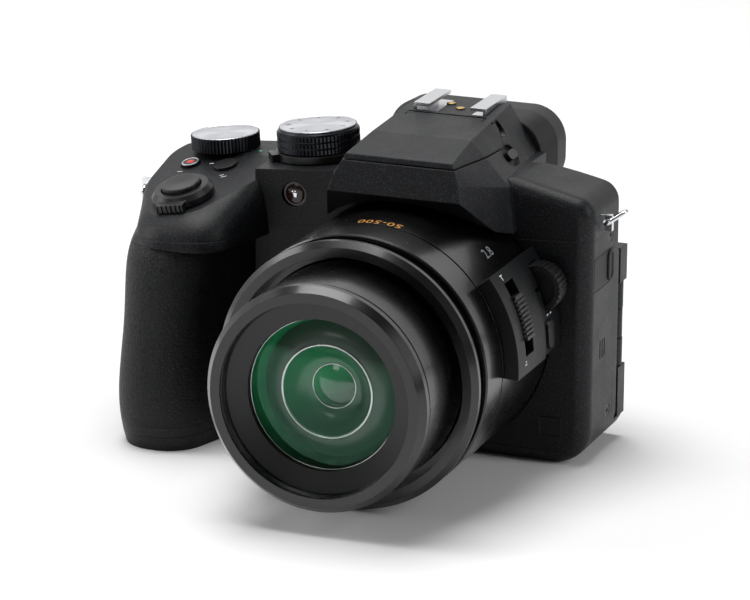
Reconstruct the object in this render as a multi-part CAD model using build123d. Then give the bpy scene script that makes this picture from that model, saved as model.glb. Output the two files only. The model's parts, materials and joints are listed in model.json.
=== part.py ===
from build123d import *
import math
import os

# Bridge camera with a fixed zoom lens. Millimetres. The origin is the mouth of the
# tripod socket in the base, under the lens axis. +Z is up, the lens looks along -Y,
# and the hand grip is on the -X side.

# Body
GRIP_REACH = 84.3
HINGE_REACH = 47.3
FRONT_DEPTH = 10.0
BACK_DEPTH = 21.5
WALL = 2.0
GAP = 0.3
SLIT = 0.15
OVERRUN = 150.0
FRONT_CORNER = 4.0
FOOT_CORNER = 10.0
SHOULDER_CORNER = 5.5
SHOULDER_BACK = 13.2
SHOULDER_STEP = 23.5
SHOULDER_ROUND = 4.5
SHOULDER_OUTER_HEIGHT = 73.3
SHOULDER_INNER_HEIGHT = 78.2
SHOULDER_INNER_REACH = 26.0
PLATEAU_HEIGHT = 74.4
PLATEAU_SLOPE = 0.075
PLATEAU_REACH = 49.0
SHELF_REACH = 66.0
SHELF_TOP = 80.0
BACK_SEAM = 10.5
BASE_SEAM = 4.0
TOP_SEAM_GRIP = 56.8
TOP_SEAM_HINGE = 63.0

# Grip, as shares of its reach and of its front at each height
GRIP_FRONT = 41.5
GRIP_KNEE = 9.0
GRIP_KNEE_CORNER = 25.0
GRIP_BACK_CORNER = 14.0
GRIP_LEVELS = (0.0, 6.0, 25.0, 45.0, 55.5, 61.0)
GRIP_OUTER_SHARES = (0.985, 1.0, 1.0, 0.996, 0.99, 0.975)
GRIP_TIP_OUTER_SHARES = (0.903, 0.914, 0.914, 0.909, 0.897, 0.86)
GRIP_TIP_INNER_SHARES = (0.69, 0.688, 0.688, 0.686, 0.68, 0.69)
GRIP_INNER_SHARES = (0.584, 0.584, 0.584, 0.584, 0.58, 0.58)
GRIP_FRONT_SHARES = (0.965, 1.0, 0.992, 0.925, 0.848, 0.72)
GRIP_CORNER_SHARES = (0.6, 0.61, 0.61, 0.61, 0.61, 0.6)

# Crown of the grip, whose levels are depths below the sloping deck
GRIP_LIP = 55.5
CROWN_LEVELS = (18.0, 5.2, 2.2, 0.0)
CROWN_OUTER_SHARES = (0.998, 0.998, 0.994, 0.98)
CROWN_TIP_OUTER_SHARES = (0.905, 0.905, 0.895, 0.872)
CROWN_TIP_INNER_SHARES = (0.638, 0.638, 0.664, 0.715)
CROWN_INNER_SHARES = (0.555, 0.555, 0.56, 0.568)
CROWN_FRONT_SHARES = (0.911, 0.906, 0.842, 0.723)
CROWN_CORNER_SHARES = (0.5, 0.5, 0.54, 0.6)
RUBBER = 1.2
RUBBER_FOOT = 7.0
THUMB_RISE = 2.2
THUMB_LOW = 37.0
THUMB_HIGH = 54.0
THUMB_INNER = 61.0
THUMB_FRONT = 9.0

# Sloping deck on top of the grip
DECK_X = -63.5
DECK_Z = 70.4
DECK_SLOPE_X = 0.16
DECK_SLOPE_Y = 0.22

# Hump over the lens: half widths, heights and depths of its corners
HUMP_FACE_FOOT = (18.7, 76.5)
HUMP_FACE_CHEEK = (17.6, 80.54)
HUMP_FACE_CROWN = (15.0, 86.0)
HUMP_FOOT_DEPTH = 33.0
HUMP_CROWN_DEPTH = 29.0
HUMP_BROW_DEPTH = 12.0
HUMP_BROW_FOOT = (27.0, 60.0)
HUMP_BROW_SHOULDER = (25.0, 76.5)
HUMP_BROW_CROWN = (14.0, 88.2)
HUMP_BACK_FOOT = (22.0, 60.0)
HUMP_BACK_SHOULDER = (21.5, 77.0)
HUMP_BACK_CROWN = (13.0, 90.4)
BROW_GAP = 1.8

# Lens
AXIS_HEIGHT = 36.5
COWL_RADIUS = 36.2
COWL_WALL = 1.2
COWL_FRONT = 58.1
COWL_GROOVE_DEPTH = 0.4
COWL_GROOVE_WIDTH = 0.7
COWL_GROOVE_PLACE = 46.2
COWL_FLANGE = 2.4
LENS_RING = 2.6
LENS_RING_DEPTH = 3.0
MIDDLE_RADIUS = 34.7
MIDDLE_WALL = 1.2
MIDDLE_FRONT = 66.0
COLLAR_RADIUS = 36.2
COLLAR_LENGTH = 3.5
COLLAR_EDGE = 0.5
MIDDLE_BEVEL_DEPTH = 1.6
MIDDLE_BEVEL_RISE = 1.5
MIDDLE_RECESS_RADIUS = 32.2
MIDDLE_RECESS_DEPTH = 7.0
MIDDLE_LIP = 3.0
MIDDLE_LENGTH = 41.5
CELL_THICKNESS = 3.0
IRIS_RADIUS = 13.0
INNER_RADIUS = 29.9
INNER_WALL = 1.4
INNER_LENGTH = 57.1
RIM_FRONT = 88.1
RIM_RADIUS = 30.2
RIM_NOSE_RADIUS = 28.6
RIM_BEVEL = 2.1
RIM_LENGTH = 4.0
RIM_GROOVE = 1.2
RIM_GROOVE_DEPTH = 0.9
FILTER_RADIUS = 26.0
FILTER_DEPTH = 3.4
BEZEL_RADIUS = 25.6
BEZEL_THICKNESS = 3.6
GLASS_RADIUS = 20.3
GLASS_CURVE = 70.0
GLASS_THICKNESS = 7.0
GLASS_SEAT = 3.4
BEZEL_SINK = 1.8
CAM_WALL = 1.4
CAM_LENGTH = 22.0
CAM_SLOT = 3.0
CAM_SLOTS = 3
CAM_SLOT_TURN = 22.0
REAR_LENS_RADIUS = 10.0
REAR_LENS_THICKNESS = 3.0
SENSOR_HOUSING = (30.0, 6.4, 26.0)
SENSOR_CHIP = (8.4, 1.0, 6.6)
MOTOR_RADIUS = 5.5
MOTOR_LENGTH = 13.0
MOTOR_PLACE = (-36.5, 14.0)

# Pod of controls on the side of the lens
POD_HEIGHT = 4.0
POD_FRONT = 45.5
POD_LOW_ANGLE = -3.0
POD_HIGH_ANGLE = 38.0
POD_STEP = 24.0
POD_STEP_DROP = 0.8
LEVER_SLOT_LOW = 4.0
LEVER_SLOT_HIGH = 33.0
LEVER_SLOT_PLACE = 36.5
LEVER_SLOT_WIDTH = 6.2
LEVER_SLOT_DEPTH = 3.0
LEVER_LOW = 10.0
LEVER_HIGH = 27.0
LEVER_RISE = 0.9
LEVER_RIBS = 9
LEVER_RIB_DEPTH = 0.6
WHEEL_RADIUS = 6.6
WHEEL_THICKNESS = 5.6
WHEEL_BACK = 13.5
WHEEL_PLACE = (35.6, 51.6)
WHEEL_TEETH = 30
WHEEL_AXLE = 0.8
WHEEL_AXLE_REACH = 2.0
WHEEL_BOSS = 4.8
WHEEL_DISH = 0.9
FOCUS_ANGLE = 4.6
FOCUS_PLACE = 19.0
FOCUS_LENGTH = 7.6
FOCUS_WIDTH = 4.4
FOCUS_RISE = 0.7
FOCUS_DEPTH = 2.6

# Controls on the sloping deck
SHUTTER_PLACE = (-66.3, -18.8)
SHUTTER_RADIUS = 5.4
SHUTTER_HEIGHT = 4.3
SHUTTER_THICKNESS = 1.8
STEM_RADIUS = 2.2
STEM_GAP = 0.1
ZOOM_RING_RADIUS = 8.6
ZOOM_RING_HEIGHT = 3.4
ZOOM_RING_BEVEL = 1.1
ZOOM_NUB_LENGTH = 1.7
ZOOM_NUB_WIDTH = 8.0
ZOOM_NUB_RIBS = 6
ZOOM_NUB_RIB = 0.45
RECORD_PLACE = (-73.4, 2.1)
RECORD_RADIUS = 2.7
FUNCTION_PLACE = (-61.8, -0.5)
FUNCTION_RADIUS = 3.2
BUTTON_RISE = 0.8
BUTTON_LIP = 0.6
REAR_DIAL_PLACE = (-67.3, 12.6)
REAR_DIAL_RADIUS = 9.6
REAR_DIAL_THICKNESS = 4.0
REAR_DIAL_TEETH = 60
MODE_DIAL_PLACE = (-36.7, 6.3)
MODE_DIAL_RADIUS = 11.4
MODE_DIAL_THICKNESS = 6.2
MODE_DIAL_TIERS = 3
MODE_DIAL_TEETH = 66
MODE_DIAL_BEVEL = 0.8
TIER_GROOVE = 0.45
KNURL_DEPTH = 0.35
SPINDLE_RADIUS = 2.6
POWER_RING_RADIUS = 12.0
POWER_RING_THICKNESS = 2.0
POWER_NUB_LENGTH = 1.8
POWER_NUB_WIDTH = 5.0
POWER_NUB_TURN = 215.0

# Flash
FLASH_SEAM = 85.0
FLASH_SEAM_BACK = 83.3
FLASH_HINGE = (6.4, 87.3)
FLASH_KNUCKLE = 2.2
FLASH_PIN = 0.9
FLASH_KNUCKLE_HALF = 11.0
FLASH_PIN_REACH = 1.6
FLASH_EAR = 2.5
FLASH_HEAD_HALF = 12.0
FLASH_HEAD_DEPTHS = (-24.0, -14.0)
FLASH_HEAD_FOOT = 79.2
FLASH_LAMP_THICKNESS = 0.8
FLASH_LAMP_MARGIN = 0.9
FLASH_SWITCH = (2.7, 81.2)
FLASH_SWITCH_LENGTH = 6.0
FLASH_SWITCH_WIDTH = 3.2
FLASH_SWITCH_RISE = 0.8
FLASH_SWITCH_TRAVEL = 1.4
FLASH_RECESS = 1.0

# Accessory shoe
SHOE_WIDTH = 20.8
SHOE_LENGTH = 16.6
SHOE_FRONT = 9.2
SHOE_TOP = 91.5
SHOE_FLOOR = 88.6
SHOE_SHEET = 0.9
SHOE_MOUTH = 11.8
CONTACT_PAD = 2.6
CONTACT_PITCH = 4.2
CONTACT_HEIGHT = 0.35

# Viewfinder
FINDER_HALF = 10.2
FINDER_FOOT = 70.6
FINDER_TOP = 82.8
FINDER_FRONT = 0.4
FINDER_EYE = 21.6
EYEPIECE_THICKNESS = 2.4
EYECUP_BACK = 36.0
EYECUP_FRONT_SIZE = (44.0, 20.6)
EYECUP_WAIST_SIZE = (49.2, 23.4)
EYECUP_BACK_SIZE = (48.4, 23.0)
EYECUP_WAIST = 28.0
EYECUP_TOP = 87.5
EYECUP_CORNER = 9.4
EYECUP_WINDOW = (21.0, 12.8)
EYECUP_BOWL = (38.0, 18.0)
EYECUP_PLATE = 3.6
DIOPTER_INSET = 13.0
DIOPTER_HEIGHT = 66.4
DIOPTER_RADIUS = 3.4
DIOPTER_RISE = 1.5
DIOPTER_SHAFT = 0.8
DIOPTER_TEETH = 20

# Screen
SCREEN_INNER = -28.0
SCREEN_FOOT = 7.0
SCREEN_TOP = 54.8
SCREEN_THICKNESS = 5.7
SCREEN_HINGE_INSET = 2.9
SCREEN_ROOM = 4.4
SCREEN_FLOOR_WALL = 1.3
SCREEN_CORNER = 3.0
HINGE_FOOT = 21.0
HINGE_TOP = 45.0
HINGE_WIDTH = 8.6
KNUCKLE_HALF = 4.0
KNUCKLE_WEB = 1.6
HINGE_PIN = 0.8
TILT_PIN = 1.6
TILT_PIN_LENGTH = 5.0
GLASS_SHEET = 1.1
SCREEN_BORDER = 3.4

# Doors and sockets
MIC_SPAN = (-6.5, 9.0)
MIC_LEVELS = (48.3, 57.3)
MIC_JACK_Y = 4.0
MIC_JACK_RADIUS = 3.4
MIC_JACK_BORE = 1.75
MIC_JACK_LENGTH = 9.0
DOOR_SHEET = 1.4
TERMINAL_SPAN = (-8.6, 4.0)
TERMINAL_LEVELS = (14.0, 42.0)
SOCKET_BODY = (4.6, 11.0, 9.0)
SOCKET_MOUTH = (3.0, 7.6, 3.0)
BATTERY_X = (-75.2, -59.2)
BATTERY_Y = (-25.0, 8.0)
BATTERY_HEIGHT = 42.0
BATTERY_GAP = 0.4
BOX_WALL = 1.0
CARD_THICKNESS = 2.1
CARD_Y = (-16.0, 8.0)
CARD_HEIGHT = 32.0
DOOR_X = (-77.0, -55.0)
DOOR_Y = (-25.8, 9.8)
DOOR_SINK = 0.3
LATCH_LENGTH = 9.0
LATCH_WIDTH = 5.0
LATCH_DEPTH = 1.1
LATCH_TRAVEL = 2.0
LATCH_INSET = 3.0

# Rear controls: place as x and z, then radius
CURSOR_PLACE = (-46.5, 28.0)
CURSOR_RADIUS = 9.6
SET_RADIUS = 4.1
PLAYBACK_PLACE = (-53.0, 44.5)
MENU_PLACE = (-39.5, 11.5)
DISPLAY_PLACE = (-55.0, 12.5)
SMALL_RADIUS = 2.7
LOCK_PLACE = (-38.5, 48.5)
LOCK_RADIUS = 2.9
FOCUS_LEVER_RADIUS = 5.8
FOCUS_LEVER_NUB = 2.0
FINDER_BUTTON_INSET = 6.0
FINDER_BUTTON_HEIGHT = 66.2
REAR_RISE = 0.9
CURSOR_RISE = 1.5

# Small parts
LUG_HEIGHT = 67.0
LUG_Y = -2.0
LUG_REACH = 3.4
LUG_WIDTH = 1.4
LUG_TALL = 4.4
LUG_BORE = 1.0
LUG_ROOT = 3.0
LUG_EYE = 2.0
GRIP_LUG_Y = 1.6
GRIP_LUG_HEIGHT = 62.0
RING_WIRE = 0.6
RING_BASE = 8.0
RING_LENGTH = 8.0
RING_CORNER = 1.5
RING_TILT = 35.0
RING_HANG = -90.0
LAMP_PLACE = (-37.6, 67.4)
LAMP_RADIUS = 3.4
LAMP_RIM = 0.8
SPEAKER_PLACE = (1.5, 30.7)
SPEAKER_RADIUS = 6.0
SPEAKER_THICKNESS = 3.0
SPEAKER_SLOT = (0.7, 5.0)
SPEAKER_SLOTS = 3
SPEAKER_PITCH = 1.8
SOCKET_THREAD_RADIUS = 3.2
SOCKET_BUSH_RADIUS = 5.5
SOCKET_BUSH_HEIGHT = 8.0
SOCKET_BUSH_FLANGE = 7.2
SOCKET_FLANGE_THICKNESS = 1.0
SOCKET_DEPTH = 6.0
SCREW_HEAD = 1.7
SCREW_HEAD_HEIGHT = 0.9
SCREW_SHANK = 0.8
SCREW_LENGTH = 4.6
SCREW_FIT = 0.05
BASE_SCREWS = ((35.0, -3.0), (34.0, 15.0), (-42.0, 16.0), (-43.0, -5.5))
SIDE_SCREWS = ((7.0, 11.5), (7.0, 61.0))
CHASSIS_SHEET = 1.2
CHASSIS_FOOT = 6.0
CHASSIS_TOP = 56.0
BOARD_SHEET = 1.2
BOARD_CHIPS = ((-24.0, 20.0), (-8.0, 38.0), (14.0, 26.0))
CHIP_SIZE = 9.0
CHIP_HEIGHT = 0.5

HERE = Align.CENTER
LOW = Align.MIN
LENS_AXIS = Axis((0, 0, AXIS_HEIGHT), (0, 1, 0))


def block(x_span, y_span, z_span):
    """Box between the low and high value of each span."""
    centre = Pos(sum(x_span) / 2, sum(y_span) / 2, sum(z_span) / 2)
    size = (abs(x_span[1] - x_span[0]), abs(y_span[1] - y_span[0]), abs(z_span[1] - z_span[0]))
    return centre * Box(*size)


def rod(base, direction, radius, length):
    """Round bar from a base point along a direction."""
    return Plane(origin=base, z_dir=direction) * Cylinder(radius, length, align=(HERE, HERE, LOW))


def tube(base, direction, outer, inner, length):
    """Pipe from a base point along a direction."""
    return rod(base, direction, outer, length) - rod(base, direction, inner, length)


def lens_turning(points):
    """Solid of revolution about the lens axis from pairs of radius and depth."""
    profile = [(radius, depth, AXIS_HEIGHT) for radius, depth in points]
    return revolve(make_face(Polyline(*profile, close=True)), LENS_AXIS)


def toothed_disc(radius, teeth, depth, height):
    """Disc with pointed teeth round its rim, standing on the local plane."""
    points = []
    for step in range(teeth * 2):
        reach = radius if step % 2 else radius - depth
        angle = math.pi * step / teeth
        points.append((reach * math.cos(angle), reach * math.sin(angle)))
    return extrude(Polygon(*points, align=None), amount=height)


def above(plane):
    """Everything on the upper side of a plane."""
    return plane * Box(OVERRUN * 2, OVERRUN * 2, OVERRUN, align=(HERE, HERE, LOW))


def deck_frame(place, rise=0.0):
    """Plane on the sloping deck over a place, raised along the deck's normal."""
    x, y = place
    z = DECK_Z + DECK_SLOPE_X * (x - DECK_X) + DECK_SLOPE_Y * y
    flat = Plane(origin=(x, y, z), x_dir=(1, 0, DECK_SLOPE_X), z_dir=(-DECK_SLOPE_X, -DECK_SLOPE_Y, 1))
    return flat.offset(rise)


def plateau_height(x):
    """Height of the flat top beside the hump, which falls towards the grip."""
    return PLATEAU_HEIGHT + PLATEAU_SLOPE * (x - MODE_DIAL_PLACE[0])


def plateau_frame(place, rise=0.0):
    """Plane on the plateau over a place."""
    x, y = place
    origin = (x, y, plateau_height(x))
    flat = Plane(origin=origin, x_dir=(1, 0, PLATEAU_SLOPE), z_dir=(-PLATEAU_SLOPE, 0, 1))
    return flat.offset(rise)


def top_seam_plane(offset=0.0):
    """Slanted plane where the top cover meets the covers below."""
    slope = (TOP_SEAM_HINGE - TOP_SEAM_GRIP) / (HINGE_REACH + GRIP_REACH)
    origin = (HINGE_REACH, 0, TOP_SEAM_HINGE)
    return Plane(origin=origin, x_dir=(1, 0, slope), z_dir=(-slope, 0, 1)).offset(offset)


def wedge(low_angle, high_angle):
    """Prism between two angles about the lens axis, reaching far out."""
    points = [(0, AXIS_HEIGHT)]
    for angle in (low_angle, high_angle):
        turn = math.radians(angle)
        points.append((OVERRUN * math.cos(turn), AXIS_HEIGHT + OVERRUN * math.sin(turn)))
    face = Plane.XZ * Polygon(*points, align=None)
    return extrude(face, amount=OVERRUN, dir=(0, -1, 0))


def lens_sector(inner, outer, near, far, low_angle, high_angle):
    """Piece of a ring about the lens axis between two depths and two angles."""
    ring = tube((0, -near, AXIS_HEIGHT), (0, -1, 0), outer, inner, far - near)
    return ring & wedge(low_angle, high_angle)


def pod_frame(angle, depth, radius):
    """Plane facing out from the lens axis at an angle, its x along the turn."""
    turn = math.radians(angle)
    origin = (radius * math.cos(turn), -depth, AXIS_HEIGHT + radius * math.sin(turn))
    along = (-math.sin(turn), 0, math.cos(turn))
    return Plane(origin=origin, x_dir=along, z_dir=(math.cos(turn), 0, math.sin(turn)))


def button(frame, radius, depth, rise, lip):
    """Round push button with a retaining lip below the wall that it sits in."""
    cap = frame.offset(-depth) * Cylinder(radius, depth + rise, align=(HERE, HERE, LOW))
    flange = frame.offset(-depth - lip) * Cylinder(radius + lip, lip, align=(HERE, HERE, LOW))
    return cap + flange


def drill(frame, radius, depth):
    """Round cut centred on a frame, through a wall of the given depth."""
    return frame.offset(-depth) * Cylinder(radius, depth * 2, align=(HERE, HERE, LOW))


def rear_frame(place):
    """Plane on the back of the body over a place given as x and z."""
    x, z = place
    return Plane(origin=(x, BACK_DEPTH, z), x_dir=(-1, 0, 0), z_dir=(0, 1, 0))


def shoulder_frame(inset, height):
    """Plane on the back of the shoulder, placed from the hinge side."""
    return Plane(origin=(HINGE_REACH - inset, SHOULDER_BACK, height), x_dir=(-1, 0, 0), z_dir=(0, 1, 0))


# Outer and inner forms of the body


def block_form(inset):
    """Main block behind the lens, with rounded corners on the hinge side."""
    right = HINGE_REACH - inset
    inner_x = -PLATEAU_REACH + inset
    points = [
        (inner_x, inset),
        (right, inset),
        (right, SHOULDER_OUTER_HEIGHT - inset),
        (SHOULDER_INNER_REACH, SHOULDER_INNER_HEIGHT - inset),
        (-SHOULDER_INNER_REACH, plateau_height(-SHOULDER_INNER_REACH) - inset),
        (inner_x, plateau_height(inner_x) - inset),
    ]
    front = Plane.XZ.offset(FRONT_DEPTH - inset) * Polygon(*points, align=None)
    depth = FRONT_DEPTH + BACK_DEPTH - inset * 2
    solid = extrude(front, amount=depth, dir=(0, 1, 0))
    side = solid.edges().filter_by(Axis.Y).sort_by(Axis.X)[-2:].sort_by(Axis.Z)
    solid = fillet(side[0], FOOT_CORNER - inset)
    side = solid.edges().filter_by(Axis.Y).filter_by(lambda e: e.center().Z > AXIS_HEIGHT)
    solid = fillet(side.sort_by(Axis.X)[-1], SHOULDER_CORNER - inset)
    upright = solid.edges().filter_by(Axis.Z).sort_by(Axis.X)[-2:].sort_by(Axis.Y)
    solid = fillet(upright[0], FRONT_CORNER - inset) - shoulder_step(inset)
    back = solid.edges().filter_by(lambda e: abs(e.center().Y - SHOULDER_BACK + inset) < SLIT)
    return fillet(back.sort_by(Axis.Z)[-1], SHOULDER_ROUND - inset)


def shoulder_step(inset):
    """Room above the screen, where the back of the shoulder lies further forward."""
    x_span = (SHOULDER_STEP - inset, OVERRUN)
    return block(x_span, (SHOULDER_BACK - inset, OVERRUN), (SCREEN_TOP + GAP - inset, OVERRUN))


def shelf_form(inset):
    """Back corner between the block and the grip."""
    x_span = (-SHELF_REACH + inset, -PLATEAU_REACH + WALL * 2)
    y_span = (0, BACK_DEPTH - inset)
    solid = block(x_span, y_span, (inset, SHELF_TOP))
    return top_trimmed(solid, inset)


def top_trimmed(solid, inset):
    """Cuts a solid under both planes of the top."""
    solid -= above(deck_frame((DECK_X, 0), -inset))
    return solid - above(plateau_frame(MODE_DIAL_PLACE, -inset))


def nose_section(shares, inset):
    """Section of the grip, square behind and rounded to a nose in front."""
    outer, tip_outer, tip_inner, inner = (GRIP_REACH * share for share in shares[:4])
    front_share, corner_share = shares[4:]
    front = inset - GRIP_FRONT * front_share
    knee = (inset - outer, -GRIP_KNEE)
    points = [
        (inset - outer, BACK_DEPTH - inset),
        knee,
        (inset - tip_outer, front),
        (-inset - tip_inner, front),
        (-inset - inner, -GRIP_KNEE),
        (-inset - inner, BACK_DEPTH - inset),
    ]
    face = Polygon(*points, align=None)
    nose_corner = (tip_outer - tip_inner) * corner_share - inset
    face = fillet(face.vertices().sort_by(Axis.Y)[:2], nose_corner)
    face = fillet(face.vertices().sort_by_distance(knee)[0], GRIP_KNEE_CORNER)
    back = face.vertices().sort_by(Axis.Y)[-2:].sort_by(Axis.X)
    return fillet(back[0], GRIP_BACK_CORNER - inset)


def grip_form(inset):
    """Hand grip: the part that the fingers close on, under an overhanging crown."""
    sections = []
    columns = (GRIP_OUTER_SHARES, GRIP_TIP_OUTER_SHARES, GRIP_TIP_INNER_SHARES)
    columns += (GRIP_INNER_SHARES, GRIP_FRONT_SHARES, GRIP_CORNER_SHARES)
    for level, *shares in zip(GRIP_LEVELS, *columns):
        sections.append(Plane.XY.offset(level if level else inset) * nose_section(shares, inset))
    return top_trimmed(loft(sections) + crown_form(inset), inset)


def crown_form(inset):
    """Top of the grip, which rounds in towards the edge of the deck."""
    sections = []
    columns = (CROWN_OUTER_SHARES, CROWN_TIP_OUTER_SHARES, CROWN_TIP_INNER_SHARES)
    columns += (CROWN_INNER_SHARES, CROWN_FRONT_SHARES, CROWN_CORNER_SHARES)
    for level, *shares in zip(CROWN_LEVELS, *columns):
        frame = deck_frame((DECK_X, 0), -level - inset)
        sections.append(frame * Pos(-DECK_X, 0) * nose_section(shares, inset))
    return loft(sections) & above(Plane.XY.offset(GRIP_LIP + inset))


def hump_section(corners):
    """Six-sided section of the hump from half width, depth and height of each corner."""
    points = [(x, y, z) for x, y, z in corners]
    points += [(-x, y, z) for x, y, z in reversed(corners)]
    return make_face(Polyline(*points, close=True))


def face_depth(z):
    """Depth of the hump's slanted front face at a height."""
    low, high = HUMP_FACE_FOOT[1], HUMP_FACE_CROWN[1]
    return HUMP_FOOT_DEPTH + (HUMP_CROWN_DEPTH - HUMP_FOOT_DEPTH) * (z - low) / (high - low)


def hump_form(inset):
    """Housing of flash and viewfinder over the lens."""
    crown_x, crown_z = HUMP_FACE_CROWN
    face = []
    for x, z in (HUMP_FACE_FOOT, HUMP_FACE_CHEEK, (crown_x, crown_z - inset)):
        face.append((x - inset, inset - face_depth(z), z))
    sections = [hump_section(face)]
    back_rows = (
        (-HUMP_BROW_DEPTH, HUMP_BROW_FOOT, HUMP_BROW_SHOULDER, HUMP_BROW_CROWN),
        (BACK_DEPTH - inset, HUMP_BACK_FOOT, HUMP_BACK_SHOULDER, HUMP_BACK_CROWN),
    )
    for y, foot, shoulder, crown in back_rows:
        corners = [(foot[0] - inset, y, foot[1])]
        corners += [(x - inset, y, z - inset) for x, z in (shoulder, crown)]
        sections.append(hump_section(corners))
    solid = loft(sections, ruled=True)
    return solid - brow_arch(inset)


def brow_arch(inset):
    """Round room over the barrel in front of the body."""
    near = FRONT_DEPTH - inset
    return rod((0, -near, AXIS_HEIGHT), (0, -1, 0), COWL_RADIUS + BROW_GAP + inset, OVERRUN)


def body_form(inset):
    """Whole body without lens and controls, drawn in by an inset."""
    return block_form(inset) + shelf_form(inset) + grip_form(inset) + hump_form(inset)


OUTER = body_form(0)
INNER = body_form(WALL)
SHELL = OUTER - INNER

# Places that several pieces share
SCREEN_FRONT = BACK_DEPTH - SCREEN_THICKNESS
SWING_X = HINGE_REACH - SCREEN_HINGE_INSET
SWING_Y = BACK_DEPTH - SCREEN_THICKNESS / 2
RECESS_FLOOR = SWING_Y - SCREEN_ROOM
HINGE_MIDDLE = (HINGE_FOOT + HINGE_TOP) / 2
POD_TOP = COWL_RADIUS + POD_HEIGHT
POD_BACK_TOP = POD_TOP - POD_STEP_DROP
SHUTTER_FRAME = deck_frame(SHUTTER_PLACE)
RECORD_FRAME = deck_frame(RECORD_PLACE)
FUNCTION_FRAME = deck_frame(FUNCTION_PLACE)
REAR_DIAL_FRAME = plateau_frame(REAR_DIAL_PLACE)
MODE_DIAL_FRAME = plateau_frame(MODE_DIAL_PLACE)
FINDER_BUTTON_FRAME = shoulder_frame(FINDER_BUTTON_INSET, FINDER_BUTTON_HEIGHT)
DIOPTER_FRAME = shoulder_frame(DIOPTER_INSET, DIOPTER_HEIGHT)
REAR_BUTTONS = (
    ("playback_button", rear_frame(PLAYBACK_PLACE), SMALL_RADIUS),
    ("menu_button", rear_frame(MENU_PLACE), SMALL_RADIUS),
    ("display_button", rear_frame(DISPLAY_PLACE), SMALL_RADIUS),
    ("lock_button", rear_frame(LOCK_PLACE), LOCK_RADIUS),
    ("finder_button", FINDER_BUTTON_FRAME, SMALL_RADIUS),
)


def flash_room(margin):
    """Wedge of the hump's top that belongs to the flash lid, grown by a margin."""
    hinge_y, hinge_z = FLASH_HINGE
    front = -HUMP_FOOT_DEPTH - FRONT_DEPTH
    points = [
        (front, FLASH_SEAM - margin),
        (hinge_y - FLASH_KNUCKLE * 2, FLASH_SEAM_BACK - margin),
        (hinge_y + margin, hinge_z),
        (hinge_y + margin, SHOE_TOP + FRONT_DEPTH),
        (front, SHOE_TOP + FRONT_DEPTH),
    ]
    half = HUMP_BROW_FOOT[0]
    face = Plane.YZ.offset(-half) * Polygon(*points, align=None)
    return extrude(face, amount=half * 2, dir=(1, 0, 0))


def flash_well():
    """Well that the flash head swings out of."""
    half = FLASH_HEAD_HALF + GAP
    front, back = FLASH_HEAD_DEPTHS
    return block((-half, half), (front - WALL, back + GAP), (FLASH_HEAD_FOOT, SHOE_TOP))


def flash_ears(margin):
    """Two ears of the top cover that hold the flash hinge's pins, grown by a margin."""
    near = FLASH_KNUCKLE_HALF + SLIT - margin
    far = FLASH_KNUCKLE_HALF + SLIT + FLASH_EAR + margin
    radius = FLASH_KNUCKLE + GAP + SLIT + margin
    return flash_barrel(radius, far) - flash_barrel(radius, near)


def flash_barrel(radius, half):
    """Round bar along the flash hinge."""
    hinge_y, hinge_z = FLASH_HINGE
    return rod((-half, hinge_y, hinge_z), (1, 0, 0), radius, half * 2)


def screen_recess():
    """Room for the closed screen in the back."""
    x_span = (SCREEN_INNER - GAP, HINGE_REACH + FRONT_DEPTH)
    y_span = (RECESS_FLOOR, BACK_DEPTH + FRONT_DEPTH)
    return block(x_span, y_span, (SCREEN_FOOT - GAP, SCREEN_TOP + GAP))


def shoe_pocket():
    """Room for the accessory shoe in the top of the hump."""
    half = SHOE_WIDTH / 2 + SLIT
    y_span = (SHOE_FRONT - SLIT, BACK_DEPTH + FRONT_DEPTH)
    return block((-half, half), y_span, (SHOE_FLOOR - SHOE_SHEET, SHOE_TOP + FRONT_DEPTH))


def finder_hole(margin):
    """Opening through the back of the hump for the viewfinder."""
    half = FINDER_HALF + margin
    levels = (FINDER_FOOT - margin, FINDER_TOP + margin)
    return block((-half, half), (0, BACK_DEPTH + FRONT_DEPTH), levels)


def flash_switch_form(margin, rise):
    """Oblong on the hump's side for the flash switch, grown by a margin."""
    length = FLASH_SWITCH_LENGTH + margin * 2
    width = FLASH_SWITCH_WIDTH + margin * 2
    return flash_switch_frame().offset(rise) * SlotOverall(length, width)


def between(first, second, share):
    """Point at a share of the way from one pair of numbers to another."""
    return [a + (b - a) * share for a, b in zip(first, second)]


def flash_switch_frame():
    """Plane on the hump's sloping side at the flash switch, its x along the body's depth."""
    y, z = FLASH_SWITCH
    back_share = (y + HUMP_BROW_DEPTH) / (BACK_DEPTH + HUMP_BROW_DEPTH)
    low_x, low_z = between(HUMP_BROW_SHOULDER, HUMP_BACK_SHOULDER, back_share)
    high_x, high_z = between(HUMP_BROW_CROWN, HUMP_BACK_CROWN, back_share)
    x = low_x + (high_x - low_x) * (z - low_z) / (high_z - low_z)
    return Plane(origin=(x, y, z), x_dir=(0, 1, 0), z_dir=(high_z - low_z, 0, low_x - high_x))


def door_block(x_span, y_span, z_span, margin):
    """Box of a door grown by a margin on every side but its outer one."""
    grown_y = (y_span[0] - margin, y_span[1] + margin)
    grown_z = (z_span[0] - margin, z_span[1] + margin)
    return block(x_span, grown_y, grown_z)


def mic_room(margin):
    """Box of the jack's cover in the hinge side's wall."""
    x_span = (HINGE_REACH - DOOR_SHEET - margin, HINGE_REACH + FRONT_DEPTH)
    return door_block(x_span, MIC_SPAN, MIC_LEVELS, margin)


def terminal_room(margin):
    """Box of the socket door in the grip's outer wall."""
    x_span = (-GRIP_REACH - WALL, -GRIP_REACH + WALL * 3)
    return door_block(x_span, TERMINAL_SPAN, TERMINAL_LEVELS, margin)


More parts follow.
